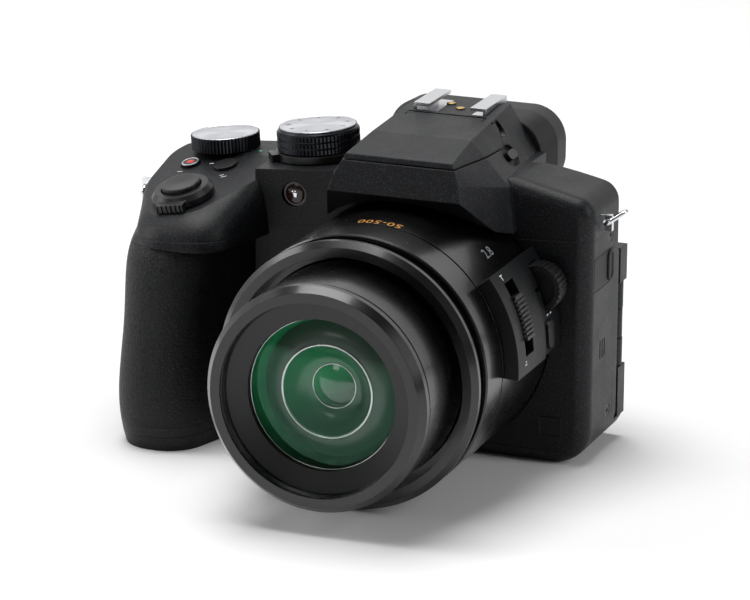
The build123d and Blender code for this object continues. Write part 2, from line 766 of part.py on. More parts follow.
def battery_door_room(margin):
    """Box of the battery door in the base of the grip."""
    x_span = (DOOR_X[0] - margin, DOOR_X[1] + margin)
    y_span = (DOOR_Y[0] - margin, DOOR_Y[1] + margin)
    return block(x_span, y_span, (-WALL, WALL + SLIT))


def grip_skin():
    """Band of the grip that is rubber."""
    skin = grip_form(0) - grip_form(RUBBER)
    band_x = (-GRIP_REACH * 2, -PLATEAU_REACH / 2)
    return skin & block(band_x, (-OVERRUN, -FRONT_DEPTH - SLIT), (RUBBER_FOOT, GRIP_LIP))


SKIN = grip_skin()


# Covers


def front_cover():
    """Front shell of body and grip with the hole for the lens."""
    solid = SHELL & block((-OVERRUN, OVERRUN), (-OVERRUN, BACK_SEAM), (BASE_SEAM, OVERRUN))
    solid -= above(top_seam_plane())
    solid -= rod((0, 0, AXIS_HEIGHT), (0, -1, 0), COWL_RADIUS + SLIT, OVERRUN)
    solid += lens_ring()
    solid -= SKIN
    solid -= mic_room(SLIT)
    solid -= terminal_room(SLIT)
    jack = (HINGE_REACH - WALL * 2, MIC_JACK_Y, sum(MIC_LEVELS) / 2)
    solid -= rod(jack, (1, 0, 0), MIC_JACK_RADIUS + SLIT, WALL * 4)
    solid -= speaker_slots()
    for y, z in SIDE_SCREWS:
        solid -= screw_hole((HINGE_REACH, y, z), (-1, 0, 0))
    return solid


def lens_ring():
    """Stiffening ring on the front wall about the flange of the lens."""
    near = FRONT_DEPTH - WALL
    inner = COWL_RADIUS + COWL_FLANGE + GAP
    ring = tube((0, -near, AXIS_HEIGHT), (0, 1, 0), inner + LENS_RING, inner, LENS_RING_DEPTH)
    return ring & block((-OVERRUN, OVERRUN), (-near, near), (BASE_SEAM, OVERRUN))


def rear_cover():
    """Back shell with the screen's recess, its knuckle and the holes for the buttons."""
    half = block((-OVERRUN, OVERRUN), (BACK_SEAM, OVERRUN), (BASE_SEAM, OVERRUN))
    pan_x = (SCREEN_INNER - GAP - WALL, HINGE_REACH)
    pan_y = (RECESS_FLOOR - SCREEN_FLOOR_WALL, BACK_DEPTH)
    pan = block(pan_x, pan_y, (BASE_SEAM, SCREEN_TOP + GAP + WALL)) & OUTER
    solid = (SHELL & half) + pan
    solid -= above(top_seam_plane())
    solid -= screen_recess()
    solid += screen_knuckle()
    for name, frame, radius in REAR_BUTTONS:
        solid -= drill(frame, radius + SLIT, WALL)
    solid -= drill(rear_frame(CURSOR_PLACE), CURSOR_RADIUS + SLIT, WALL)
    for x, y in BASE_SCREWS:
        solid -= screw_hole((x, y, 0), (0, 0, 1))
    return solid


def screen_knuckle():
    """Eye on the recess floor that carries the screen's hinge."""
    low = HINGE_MIDDLE - KNUCKLE_HALF
    eye = rod((SWING_X, SWING_Y, low), (0, 0, 1), SCREEN_HINGE_INSET - SLIT, KNUCKLE_HALF * 2)
    web_x = (SWING_X - KNUCKLE_WEB, SWING_X + KNUCKLE_WEB)
    web = block(web_x, (RECESS_FLOOR - SLIT, SWING_Y), (low, low + KNUCKLE_HALF * 2))
    bore = rod((SWING_X, SWING_Y, low), (0, 0, 1), HINGE_PIN + SCREW_FIT, KNUCKLE_HALF * 2)
    return eye + web - bore


def top_cover():
    """Top shell: hump, flat top beside it and the sloping deck of the grip."""
    solid = (SHELL & above(top_seam_plane())) + shoe_seat()
    solid -= rod((0, 0, AXIS_HEIGHT), (0, -1, 0), COWL_RADIUS + SLIT, OVERRUN)
    solid -= flash_room(SLIT)
    solid -= flash_well()
    solid -= flash_barrel(FLASH_KNUCKLE + GAP, SHOULDER_INNER_REACH)
    solid += flash_ears(0) & OUTER
    solid -= flash_barrel(FLASH_PIN + SCREW_FIT, FLASH_KNUCKLE_HALF + FLASH_PIN_REACH + SLIT)
    solid -= shoe_pocket()
    solid -= finder_hole(SLIT)
    solid -= drill(SHUTTER_FRAME, STEM_RADIUS + STEM_GAP, WALL * 2)
    solid -= drill(RECORD_FRAME, RECORD_RADIUS + SLIT, WALL * 2)
    solid -= drill(FUNCTION_FRAME, FUNCTION_RADIUS + SLIT, WALL * 2)
    solid -= drill(REAR_DIAL_FRAME, SPINDLE_RADIUS + STEM_GAP, WALL * 2)
    solid -= drill(MODE_DIAL_FRAME, SPINDLE_RADIUS + STEM_GAP, WALL * 2)
    relief = MODE_DIAL_FRAME * Cylinder(POWER_RING_RADIUS + GAP, WALL * 4, align=(HERE, HERE, LOW))
    solid -= relief
    solid -= drill(FINDER_BUTTON_FRAME, SMALL_RADIUS + SLIT, WALL)
    solid -= drill(DIOPTER_FRAME, DIOPTER_SHAFT + STEM_GAP, WALL)
    travel = FLASH_SWITCH_TRAVEL + SLIT
    solid -= extrude(flash_switch_form(travel, -FLASH_RECESS), amount=WALL * 2)
    lamp_x, lamp_z = LAMP_PLACE
    solid -= rod((lamp_x, 0, lamp_z), (0, -1, 0), LAMP_RADIUS + SLIT, OVERRUN)
    return solid


def shoe_seat():
    """Floor under the accessory shoe inside the hump."""
    half = SHOE_WIDTH / 2 + SLIT
    levels = (FINDER_TOP + SLIT, SHOE_FLOOR)
    return block((-half, half), (SHOE_FRONT - WALL, BACK_DEPTH - WALL), levels) & OUTER


def base_cover():
    """Bottom shell with the openings for the tripod socket and the battery door."""
    solid = SHELL - block((-OVERRUN, OVERRUN), (-OVERRUN, OVERRUN), (BASE_SEAM, OVERRUN))
    solid -= rod((0, 0, AXIS_HEIGHT), (0, -1, 0), COWL_RADIUS + SLIT, OVERRUN)
    solid -= rod((0, 0, 0), (0, 0, 1), SOCKET_BUSH_RADIUS + SCREW_FIT, WALL * 2)
    solid -= battery_door_room(SLIT)
    for x, y in BASE_SCREWS:
        solid -= screw_hole((x, y, 0), (0, 0, 1))
    return solid


def speaker_slots():
    """Narrow slots in the side wall before the loudspeaker."""
    y, z = SPEAKER_PLACE
    width, height = SPEAKER_SLOT
    slots = Part()
    for step in range(SPEAKER_SLOTS):
        middle = y + (step - (SPEAKER_SLOTS - 1) / 2) * SPEAKER_PITCH
        y_span = (middle - width / 2, middle + width / 2)
        slots += block((HINGE_REACH - WALL * 2, HINGE_REACH + WALL), y_span, (z - height / 2, z + height / 2))
    return slots


# Fasteners and small fixed pieces


def screw_hole(place, inward):
    """Countersunk room for one screw."""
    head = rod(place, inward, SCREW_HEAD + SCREW_FIT, SCREW_HEAD_HEIGHT + SCREW_FIT)
    return head + rod(place, inward, SCREW_SHANK + SCREW_FIT, SCREW_LENGTH + SCREW_FIT * 2)


def screw(place, inward):
    """Flat-headed screw with a cross in its head."""
    solid = rod(place, inward, SCREW_HEAD, SCREW_HEAD_HEIGHT) + rod(place, inward, SCREW_SHANK, SCREW_LENGTH)
    frame = Plane(origin=place, z_dir=inward)
    arm = SCREW_SHANK / 2
    for length, width in ((SCREW_HEAD, arm), (arm, SCREW_HEAD)):
        solid -= frame * Box(length, width, SCREW_HEAD_HEIGHT)
    return solid


def screws():
    """All the screws that show, as a group of separate solids."""
    group = [screw((x, y, SCREW_FIT), (0, 0, 1)) for x, y in BASE_SCREWS]
    group += [screw((HINGE_REACH - SCREW_FIT, y, z), (-1, 0, 0)) for y, z in SIDE_SCREWS]
    return group


def tripod_bush():
    """Metal bush with the tripod thread."""
    solid = rod((0, 0, 0), (0, 0, 1), SOCKET_BUSH_RADIUS, SOCKET_BUSH_HEIGHT)
    solid += rod((0, 0, WALL), (0, 0, 1), SOCKET_BUSH_FLANGE, SOCKET_FLANGE_THICKNESS)
    return solid - rod((0, 0, 0), (0, 0, 1), SOCKET_THREAD_RADIUS, SOCKET_DEPTH)


def grip_rubber():
    """Leather-grained rubber of the grip and the thumb rest."""
    rise = (grip_form(-THUMB_RISE) + shelf_form(-THUMB_RISE)) - OUTER
    x_span = (-GRIP_REACH - WALL * 2, -THUMB_INNER)
    rest = rise & block(x_span, (THUMB_FRONT, OVERRUN), (THUMB_LOW, THUMB_HIGH))
    return [SKIN, rest]


def focus_lamp():
    """Round window of the focus lamp beside the lens."""
    x, z = LAMP_PLACE
    window = rod((x, -FRONT_DEPTH + LAMP_RIM, z), (0, 1, 0), LAMP_RADIUS, WALL * 2)
    return window


def strap_lug(side, y, height):
    """Steel eye on one side of the body."""
    reach = HINGE_REACH if side > 0 else GRIP_REACH
    x_span = sorted((side * (reach - LUG_ROOT), side * (reach + LUG_REACH)))
    z_span = (height - LUG_TALL / 2, height + LUG_TALL / 2)
    plate = block(x_span, (y - LUG_WIDTH / 2, y + LUG_WIDTH / 2), z_span)
    eye = (side * (reach + LUG_EYE), y - LUG_WIDTH, height)
    return plate - OUTER - rod(eye, (0, 1, 0), LUG_BORE, LUG_WIDTH * 2)


def strap_lugs():
    """The two eyes for the strap rings."""
    return [strap_lug(1, LUG_Y, LUG_HEIGHT), strap_lug(-1, GRIP_LUG_Y, GRIP_LUG_HEIGHT)]


def strap_ring(side, y, height, tilt):
    """Three-cornered wire ring whose straight side runs through the lug."""
    reach = HINGE_REACH if side > 0 else GRIP_REACH
    turn = math.radians(tilt)
    frame = Plane(
        origin=(side * (reach + LUG_EYE), y, height),
        x_dir=(side * math.cos(turn), 0, math.sin(turn)),
        z_dir=(-side * math.sin(turn), 0, math.cos(turn)),
    )
    half = RING_BASE / 2
    corners = [(0, -half), (RING_LENGTH, 0), (0, half)]
    path = frame * FilletPolyline(*corners, radius=RING_CORNER, close=True)
    wire = Plane(origin=path @ 0, z_dir=path % 0) * Circle(RING_WIRE)
    return sweep(wire, path=path)


def sockets():
    """Microphone jack, the two sockets behind the grip's door and the loudspeaker."""
    jack_start = (HINGE_REACH - DOOR_SHEET - SLIT * 2, MIC_JACK_Y, sum(MIC_LEVELS) / 2)
    jack = tube(jack_start, (-1, 0, 0), MIC_JACK_RADIUS, MIC_JACK_BORE, MIC_JACK_LENGTH)
    depth, width, height = SOCKET_BODY
    mouth_depth, mouth_width, mouth_height = SOCKET_MOUTH
    middle_y = sum(TERMINAL_SPAN) / 2
    outer_x = -GRIP_REACH + WALL + GAP * 2
    group = [jack]
    low, high = TERMINAL_LEVELS
    for share in (1 / 4, 3 / 4):
        z = low + (high - low) * share
        body_y = (middle_y - width / 2, middle_y + width / 2)
        body = block((outer_x, outer_x + depth), body_y, (z - height / 2, z + height / 2))
        hole_y = (middle_y - mouth_width / 2, middle_y + mouth_width / 2)
        hole_z = (z - mouth_height / 2, z + mouth_height / 2)
        hole = block((outer_x - depth, outer_x + mouth_depth), hole_y, hole_z)
        group.append(body - hole)
    return group + [speaker()]


def speaker():
    """Loudspeaker behind the slots."""
    y, z = SPEAKER_PLACE
    return rod((HINGE_REACH - WALL - SLIT, y, z), (-1, 0, 0), SPEAKER_RADIUS, SPEAKER_THICKNESS)


# Inner works


def battery_box():
    """Well for the battery inside the grip, open at the foot."""
    low, high = BATTERY_X
    x_in = (low - BATTERY_GAP, high + BATTERY_GAP)
    y_in = (BATTERY_Y[0] - BATTERY_GAP, BATTERY_Y[1] + BATTERY_GAP)
    x_out = (x_in[0] - BOX_WALL, x_in[1] + BOX_WALL)
    y_out = (y_in[0] - BOX_WALL, y_in[1] + BOX_WALL)
    foot = WALL + GAP
    top = foot + BATTERY_HEIGHT + BATTERY_GAP
    outside = block(x_out, y_out, (foot, top + BOX_WALL))
    return outside - block(x_in, y_in, (0, top))


def chassis():
    """Sheet frame behind the lens with the battery well."""
    back = BACK_SEAM - BOARD_SHEET
    sheet_y = (back - CHASSIS_SHEET, back)
    sheet = block((-SHELF_REACH, HINGE_REACH - WALL - GAP), sheet_y, (CHASSIS_FOOT, CHASSIS_TOP))
    rib_x = (-SHELF_REACH, -SHELF_REACH + BOX_WALL * 3)
    rib_y = (BATTERY_Y[1] + BATTERY_GAP, sheet_y[1])
    rib = block(rib_x, rib_y, (CHASSIS_FOOT, BATTERY_HEIGHT))
    return sheet + rib + battery_box()


def chassis_front():
    """Depth of the chassis sheet's front face."""
    return BACK_SEAM - BOARD_SHEET - CHASSIS_SHEET


def sensor_unit():
    """Image sensor in its housing with the last lens in front."""
    width, depth, height = SENSOR_HOUSING
    back = chassis_front()
    middle = (-width / 2, width / 2)
    levels = (AXIS_HEIGHT - height / 2, AXIS_HEIGHT + height / 2)
    housing = block(middle, (back - depth, back), levels)
    chip_width, chip_depth, chip_height = SENSOR_CHIP
    chip_y = (back - depth, back - depth + chip_depth)
    chip_z = (AXIS_HEIGHT - chip_height / 2, AXIS_HEIGHT + chip_height / 2)
    chip = block((-chip_width / 2, chip_width / 2), chip_y, chip_z)
    lens = rod((0, back - depth, AXIS_HEIGHT), (0, -1, 0), REAR_LENS_RADIUS, REAR_LENS_THICKNESS)
    return [housing - chip, chip, lens]


def main_board():
    """Circuit board behind the chassis with its chips."""
    front = BACK_SEAM - BOARD_SHEET
    board_x = (SCREEN_INNER, HINGE_REACH - FOOT_CORNER)
    board = block(board_x, (front, front + BOARD_SHEET), (CHASSIS_FOOT, CHASSIS_TOP))
    half = CHIP_SIZE / 2
    for x, z in BOARD_CHIPS:
        chip_y = (front + BOARD_SHEET, front + BOARD_SHEET + CHIP_HEIGHT)
        board += block((x - half, x + half), chip_y, (z - half, z + half))
    return board


def zoom_motor():
    """Motor that drives the zoom, fixed to the chassis."""
    x, z = MOTOR_PLACE
    body = rod((x, chassis_front(), z), (0, -1, 0), MOTOR_RADIUS, MOTOR_LENGTH - WALL)
    return body + rod((x, chassis_front(), z), (0, -1, 0), SCREW_HEAD, MOTOR_LENGTH)


def battery():
    """Battery pack standing on the closed door."""
    foot = WALL + GAP
    return block(BATTERY_X, BATTERY_Y, (foot, foot + BATTERY_HEIGHT))


def memory_card():
    """Card beside the battery."""
    near = BATTERY_X[1] + BATTERY_GAP + BOX_WALL + GAP
    foot = WALL + GAP
    return block((near, near + CARD_THICKNESS), CARD_Y, (foot, foot + CARD_HEIGHT))


# Lens


def lens_cowl():
    """Fixed outer barrel with its groove, its flange and the rooms of the side pod."""
    near = FRONT_DEPTH - WALL
    inner = COWL_RADIUS - COWL_WALL
    points = [
        (inner, -near),
        (inner, -COWL_FRONT),
        (COWL_RADIUS - COWL_GROOVE_DEPTH, -COWL_FRONT),
        (COWL_RADIUS, -COWL_FRONT + COWL_GROOVE_DEPTH),
        (COWL_RADIUS, -COWL_GROOVE_PLACE - COWL_GROOVE_WIDTH),
        (COWL_RADIUS - COWL_GROOVE_DEPTH, -COWL_GROOVE_PLACE - COWL_GROOVE_WIDTH),
        (COWL_RADIUS - COWL_GROOVE_DEPTH, -COWL_GROOVE_PLACE),
        (COWL_RADIUS, -COWL_GROOVE_PLACE),
        (COWL_RADIUS, -near),
    ]
    flange = tube((0, -near, AXIS_HEIGHT), (0, 1, 0), COWL_RADIUS + COWL_FLANGE, inner, COWL_WALL)
    reach = COWL_RADIUS * 2
    flange &= block((-reach, reach), (-near, near), (BASE_SEAM + GAP, reach * 2))
    return lens_turning(points) + flange - wheel_room(GAP)


def wheel_room(margin):
    """Disc-shaped room about the side wheel."""
    x, z = WHEEL_PLACE
    base = (x, margin - WHEEL_BACK, z)
    return rod(base, (0, -1, 0), WHEEL_RADIUS + margin, WHEEL_THICKNESS + margin * 2)


def side_pod():
    """Pod on the side of the barrel that carries lever, wheel and button."""
    clear = COWL_RADIUS + SCREW_FIT
    back = FRONT_DEPTH + GAP
    front_band = lens_sector(clear, POD_TOP, POD_STEP, POD_FRONT, POD_LOW_ANGLE, POD_HIGH_ANGLE)
    back_band = lens_sector(clear, POD_BACK_TOP, back, POD_STEP, POD_LOW_ANGLE, POD_HIGH_ANGLE)
    solid = front_band + back_band - wheel_room(GAP)
    half = LEVER_SLOT_WIDTH / 2
    near, far = LEVER_SLOT_PLACE - half, LEVER_SLOT_PLACE + half
    floor = POD_TOP - LEVER_SLOT_DEPTH
    solid -= lens_sector(floor, POD_TOP + WALL, near, far, LEVER_SLOT_LOW, LEVER_SLOT_HIGH)
    x, z = WHEEL_PLACE
    boss_depth = WHEEL_BACK - GAP - back
    solid += rod((x, -back, z), (0, -1, 0), WHEEL_BOSS, boss_depth) - rod(
        (0, 0, AXIS_HEIGHT), (0, -1, 0), clear, OVERRUN)
    solid -= rod((x, -back, z), (0, -1, 0), WHEEL_AXLE + SCREW_FIT, WHEEL_BACK)
    frame = pod_frame(FOCUS_ANGLE, FOCUS_PLACE, POD_BACK_TOP)
    hole = SlotOverall(FOCUS_LENGTH + SLIT * 2, FOCUS_WIDTH + SLIT * 2)
    return solid - extrude(frame.offset(-FOCUS_DEPTH) * hole, amount=FOCUS_DEPTH * 2)


def side_lever():
    """Ribbed zoom lever that slides round the barrel in its slot."""
    half = LEVER_SLOT_WIDTH / 2 - GAP
    near, far = LEVER_SLOT_PLACE - half, LEVER_SLOT_PLACE + half
    floor = POD_TOP - LEVER_SLOT_DEPTH + GAP
    top = POD_TOP + LEVER_RISE
    solid = lens_sector(floor, top, near, far, LEVER_LOW, LEVER_HIGH)
    pitch = (LEVER_HIGH - LEVER_LOW) / (LEVER_RIBS + 1)
    for step in range(LEVER_RIBS):
        angle = LEVER_LOW + pitch * (step + 1)
        frame = pod_frame(angle, LEVER_SLOT_PLACE, top)
        solid -= frame * Box(LEVER_RIB_DEPTH, LEVER_SLOT_WIDTH, LEVER_RIB_DEPTH * 2)
    return solid


def side_wheel():
    """Knurled wheel with a dished front face, its axle in the pod's ridge."""
    x, z = WHEEL_PLACE
    frame = Plane(origin=(x, -WHEEL_BACK, z), x_dir=(1, 0, 0), z_dir=(0, -1, 0))
    solid = frame * toothed_disc(WHEEL_RADIUS, WHEEL_TEETH, KNURL_DEPTH, WHEEL_THICKNESS)
    dish = frame.offset(WHEEL_THICKNESS) * Cylinder(WHEEL_RADIUS - WHEEL_DISH * 2, WHEEL_DISH * 2)
    axle = rod((x, WHEEL_AXLE_REACH - WHEEL_BACK, z), (0, -1, 0), WHEEL_AXLE, WHEEL_AXLE_REACH + WHEEL_DISH)
    return solid - dish + axle


def focus_button():
    """Oblong button on the pod."""
    frame = pod_frame(FOCUS_ANGLE, FOCUS_PLACE, POD_BACK_TOP)
    depth = FOCUS_DEPTH - FOCUS_RISE
    return extrude(frame.offset(-depth) * SlotOverall(FOCUS_LENGTH, FOCUS_WIDTH), amount=depth + FOCUS_RISE)


def middle_back():
    """Depth of the middle barrel's back end."""
    return MIDDLE_FRONT - MIDDLE_LENGTH


def middle_barrel():
    """Middle barrel with a bevelled collar and a recessed lip for the front barrel."""
    bore = MIDDLE_RADIUS - MIDDLE_WALL
    lip = INNER_RADIUS + GAP
    lip_front = MIDDLE_FRONT - MIDDLE_RECESS_DEPTH
    lip_back = lip_front - MIDDLE_LIP
    collar_back = MIDDLE_FRONT - COLLAR_LENGTH
    points = [
        (MIDDLE_RADIUS, -middle_back()),
        (MIDDLE_RADIUS, -collar_back),
        (COLLAR_RADIUS - COLLAR_EDGE, -collar_back),
        (COLLAR_RADIUS, -collar_back - COLLAR_EDGE),
        (COLLAR_RADIUS, -MIDDLE_FRONT + MIDDLE_BEVEL_DEPTH),
        (COLLAR_RADIUS - MIDDLE_BEVEL_RISE, -MIDDLE_FRONT),
        (MIDDLE_RECESS_RADIUS, -MIDDLE_FRONT),
        (MIDDLE_RECESS_RADIUS, -lip_front),
        (lip, -lip_front),
        (lip, -lip_back),
        (bore, -lip_back),
        (bore, -middle_back()),
    ]
    return lens_turning(points)


def middle_lens_group():
    """Cell at the middle barrel's back end with its iris and lens."""
    back = middle_back()
    rim = MIDDLE_RADIUS - MIDDLE_WALL - SCREW_FIT
    cell = tube((0, -back, AXIS_HEIGHT), (0, -1, 0), rim, IRIS_RADIUS, CELL_THICKNESS)
    lens = rod((0, -back, AXIS_HEIGHT), (0, -1, 0), IRIS_RADIUS - SCREW_FIT, CELL_THICKNESS)
    return [cell, lens]


def cam_ring():
    """Slotted ring that turns inside the middle barrel."""
    outer = MIDDLE_RADIUS - MIDDLE_WALL - GAP
    near = middle_back() + CELL_THICKNESS + GAP
    solid = tube((0, -near, AXIS_HEIGHT), (0, -1, 0), outer, outer - CAM_WALL, CAM_LENGTH)
    middle = near + CAM_LENGTH / 2
    for step in range(CAM_SLOTS):
        turn = Rot(0, 360 * step / CAM_SLOTS, 0)
        cutter = Box(CAM_WALL * 4, CAM_LENGTH - CAM_SLOT * 2, CAM_SLOT)
        slot = Pos(outer, 0, 0) * Rot(CAM_SLOT_TURN, 0, 0) * cutter
        solid -= Pos(0, -middle, AXIS_HEIGHT) * turn * slot
    return solid


def front_barrel():
    """Front barrel with the grooved rim, the filter thread and the seat of the front lens."""
    back = RIM_FRONT - INNER_LENGTH
    bore = INNER_RADIUS - INNER_WALL
    seat = RIM_FRONT - FILTER_DEPTH
    groove_front = RIM_FRONT - RIM_LENGTH
    groove_back = groove_front - RIM_GROOVE
    step = seat - BEZEL_THICKNESS - GLASS_THICKNESS
    points = [
        (FILTER_RADIUS, -RIM_FRONT),
        (RIM_NOSE_RADIUS, -RIM_FRONT),
        (RIM_RADIUS, -RIM_FRONT + RIM_BEVEL),
        (RIM_RADIUS, -groove_front),
        (INNER_RADIUS - RIM_GROOVE_DEPTH, -groove_front),
        (INNER_RADIUS - RIM_GROOVE_DEPTH, -groove_back),
        (INNER_RADIUS, -groove_back),
        (INNER_RADIUS, -back),
        (bore, -back),
        (bore, -step),
        (BEZEL_RADIUS, -step),
        (BEZEL_RADIUS, -seat),
        (FILTER_RADIUS, -seat),
    ]
    return lens_turning(points)


def front_bezel():
    """Plain black ring round the front lens."""
    seat = RIM_FRONT - FILTER_DEPTH
    outer = BEZEL_RADIUS - SCREW_FIT
    points = [
        (outer, -seat),
        (GLASS_RADIUS, -seat + BEZEL_SINK),
        (GLASS_RADIUS, -seat + BEZEL_THICKNESS),
        (outer, -seat + BEZEL_THICKNESS),
    ]
    return lens_turning(points)


def front_lens():
    """Domed front lens behind the bezel."""
    seat = RIM_FRONT - FILTER_DEPTH - BEZEL_THICKNESS
    shoulder = BEZEL_RADIUS - SCREW_FIT
    dome_radius = GLASS_RADIUS - SCREW_FIT
    body = rod((0, -seat, AXIS_HEIGHT), (0, 1, 0), shoulder, GLASS_THICKNESS)
    edge = seat + BEZEL_THICKNESS - GLASS_SEAT
    rise = GLASS_CURVE - math.sqrt(GLASS_CURVE ** 2 - dome_radius ** 2)
    ball = Pos(0, -(edge + rise) + GLASS_CURVE, AXIS_HEIGHT) * Sphere(GLASS_CURVE)
    dome = rod((0, -seat, AXIS_HEIGHT), (0, -1, 0), dome_radius, BEZEL_THICKNESS + rise)
    return body + (dome & ball)


# Controls on top


def shutter_button():
    """Two-stage release button in the middle of the zoom ring."""
    cap = SHUTTER_FRAME.offset(SHUTTER_HEIGHT - SHUTTER_THICKNESS)
    solid = cap * Cylinder(SHUTTER_RADIUS, SHUTTER_THICKNESS, align=(HERE, HERE, LOW))
    stem_length = SHUTTER_HEIGHT - SHUTTER_THICKNESS + WALL * 2
    stem = Cylinder(STEM_RADIUS, stem_length, align=(HERE, HERE, LOW))
    return solid + SHUTTER_FRAME.offset(-WALL * 2) * stem


def zoom_ring():
    """Sprung zoom ring with a ribbed nub at the front."""
    frame = SHUTTER_FRAME.offset(GAP)
    height = ZOOM_RING_HEIGHT - GAP
    top_radius = ZOOM_RING_RADIUS - ZOOM_RING_BEVEL
    solid = frame * Cylinder(ZOOM_RING_RADIUS, height / 2, align=(HERE, HERE, LOW))
    cone = Cone(ZOOM_RING_RADIUS, top_radius, height / 2, align=(HERE, HERE, LOW))
    solid += frame.offset(height / 2) * cone
    reach = ZOOM_RING_RADIUS + ZOOM_NUB_LENGTH
    nub = Pos(0, -reach / 2, 0) * Box(ZOOM_NUB_WIDTH, reach, height * 2 / 3, align=(HERE, HERE, LOW))
    solid += frame * nub
    for step in range(ZOOM_NUB_RIBS):
        x = (step - (ZOOM_NUB_RIBS - 1) / 2) * ZOOM_NUB_WIDTH / ZOOM_NUB_RIBS
        solid -= frame * Pos(x, -reach, 0) * Box(ZOOM_NUB_RIB, ZOOM_NUB_RIB * 2, height * 2)
    return solid - frame * Cylinder(SHUTTER_RADIUS + GAP, height * 4)


def record_button():
    """Movie button on the deck."""
    return button(RECORD_FRAME, RECORD_RADIUS, WALL + GAP * 2, BUTTON_RISE, BUTTON_LIP)


def function_button():
    """Function button on the deck."""
    return button(FUNCTION_FRAME, FUNCTION_RADIUS, WALL + GAP * 2, BUTTON_RISE, BUTTON_LIP)


def spindle(frame, top):
    """Round shaft from a dial down through the top cover."""
    return frame.offset(-WALL * 2) * Cylinder(SPINDLE_RADIUS, WALL * 2 + top, align=(HERE, HERE, LOW))


def rear_dial():
    """Thin knurled dial at the back of the deck."""
    disc = toothed_disc(REAR_DIAL_RADIUS, REAR_DIAL_TEETH, KNURL_DEPTH, REAR_DIAL_THICKNESS)
    return REAR_DIAL_FRAME.offset(GAP) * disc + spindle(REAR_DIAL_FRAME, REAR_DIAL_THICKNESS)


def mode_dial():
    """Mode dial with tiers of knurling and a bevelled top."""
    frame = MODE_DIAL_FRAME.offset(POWER_RING_THICKNESS + GAP * 2)
    tier = (MODE_DIAL_THICKNESS - MODE_DIAL_BEVEL) / MODE_DIAL_TIERS
    solid = spindle(MODE_DIAL_FRAME, POWER_RING_THICKNESS + GAP * 3)
    core = MODE_DIAL_RADIUS - KNURL_DEPTH * 2
    solid += frame * Cylinder(core, MODE_DIAL_THICKNESS, align=(HERE, HERE, LOW))
    for step in range(MODE_DIAL_TIERS):
        disc = toothed_disc(MODE_DIAL_RADIUS, MODE_DIAL_TEETH, KNURL_DEPTH, tier - TIER_GROOVE)
        solid += frame.offset(tier * step) * disc
    rim = Cone(MODE_DIAL_RADIUS - KNURL_DEPTH, core - KNURL_DEPTH, MODE_DIAL_BEVEL, align=(HERE, HERE, LOW))
    return solid + frame.offset(MODE_DIAL_THICKNESS - MODE_DIAL_BEVEL) * rim


def power_ring():
    """On and off ring under the mode dial."""
    frame = MODE_DIAL_FRAME.offset(GAP)
    solid = frame * Cylinder(POWER_RING_RADIUS, POWER_RING_THICKNESS, align=(HERE, HERE, LOW))
    reach = POWER_RING_RADIUS + POWER_NUB_LENGTH
    nub = Box(reach, POWER_NUB_WIDTH, POWER_RING_THICKNESS, align=(LOW, HERE, LOW))
    solid += frame * Rot(0, 0, POWER_NUB_TURN) * nub
    return solid - frame * Cylinder(SPINDLE_RADIUS + STEM_GAP, WALL * 4)


# Flash, shoe and viewfinder


def flash_housing():
    """Pop-up lid with the lamp's head under its front and a pin at its back."""
    lid = (hump_form(0) & flash_room(-SLIT)) - flash_ears(GAP)
    half = FLASH_HEAD_HALF
    head = block((-half, half), FLASH_HEAD_DEPTHS, (FLASH_HEAD_FOOT, FLASH_SEAM + WALL / 2))
    solid = lid + head + flash_barrel(FLASH_KNUCKLE, FLASH_KNUCKLE_HALF)
    return solid + flash_barrel(FLASH_PIN, FLASH_KNUCKLE_HALF + FLASH_PIN_REACH)


def flash_lamp():
    """Ribbed window on the front of the flash head."""
    half = FLASH_HEAD_HALF - FLASH_LAMP_MARGIN
    front = FLASH_HEAD_DEPTHS[0]
    levels = (FLASH_HEAD_FOOT + FLASH_LAMP_MARGIN, FLASH_SEAM - FLASH_LAMP_MARGIN)
    return block((-half, half), (front - FLASH_LAMP_THICKNESS, front), levels)


def flash_switch():
    """Slider that lets the flash spring up."""
    face = flash_switch_form(-GAP, -FLASH_RECESS + GAP)
    return extrude(face, amount=FLASH_RECESS - GAP + FLASH_SWITCH_RISE)


def hot_shoe():
    """Bent metal shoe with two inward rails."""
    half = SHOE_WIDTH / 2
    y_span = (SHOE_FRONT, SHOE_FRONT + SHOE_LENGTH)
    low = SHOE_FLOOR - SHOE_SHEET + SCREW_FIT
    outside = block((-half, half), y_span, (low, SHOE_TOP))
    slot = half - SHOE_SHEET
    outside -= block((-slot, slot), y_span, (SHOE_FLOOR, SHOE_TOP - SHOE_SHEET))
    mouth = SHOE_MOUTH / 2
    outside -= block((-mouth, mouth), y_span, (SHOE_FLOOR, SHOE_TOP + SHOE_SHEET))
    inlay = SHOE_MOUTH / 2 - SHOE_SHEET
    stop = SHOE_SHEET * 2
    room = block((-inlay, inlay), (SHOE_FRONT + stop, SHOE_FRONT + SHOE_LENGTH), (low - SHOE_SHEET, SHOE_TOP))
    return outside - room


def shoe_contacts():
    """Insulating block of the shoe with its contact pads."""
    half = SHOE_MOUTH / 2 - SHOE_SHEET - SCREW_FIT
    stop = SHOE_SHEET * 2
    y_span = (SHOE_FRONT + stop + SCREW_FIT, SHOE_FRONT + SHOE_LENGTH)
    low = SHOE_FLOOR - SHOE_SHEET + SCREW_FIT
    plate = block((-half, half), y_span, (low, SHOE_FLOOR))
    middle = SHOE_FRONT + SHOE_LENGTH / 2
    group = [plate]
    behind = middle + CONTACT_PITCH
    for x, y in ((0, middle), (-CONTACT_PITCH, behind), (CONTACT_PITCH, behind)):
        group.append(rod((x, y, SHOE_FLOOR), (0, 0, 1), CONTACT_PAD / 2, CONTACT_HEIGHT))
    return group


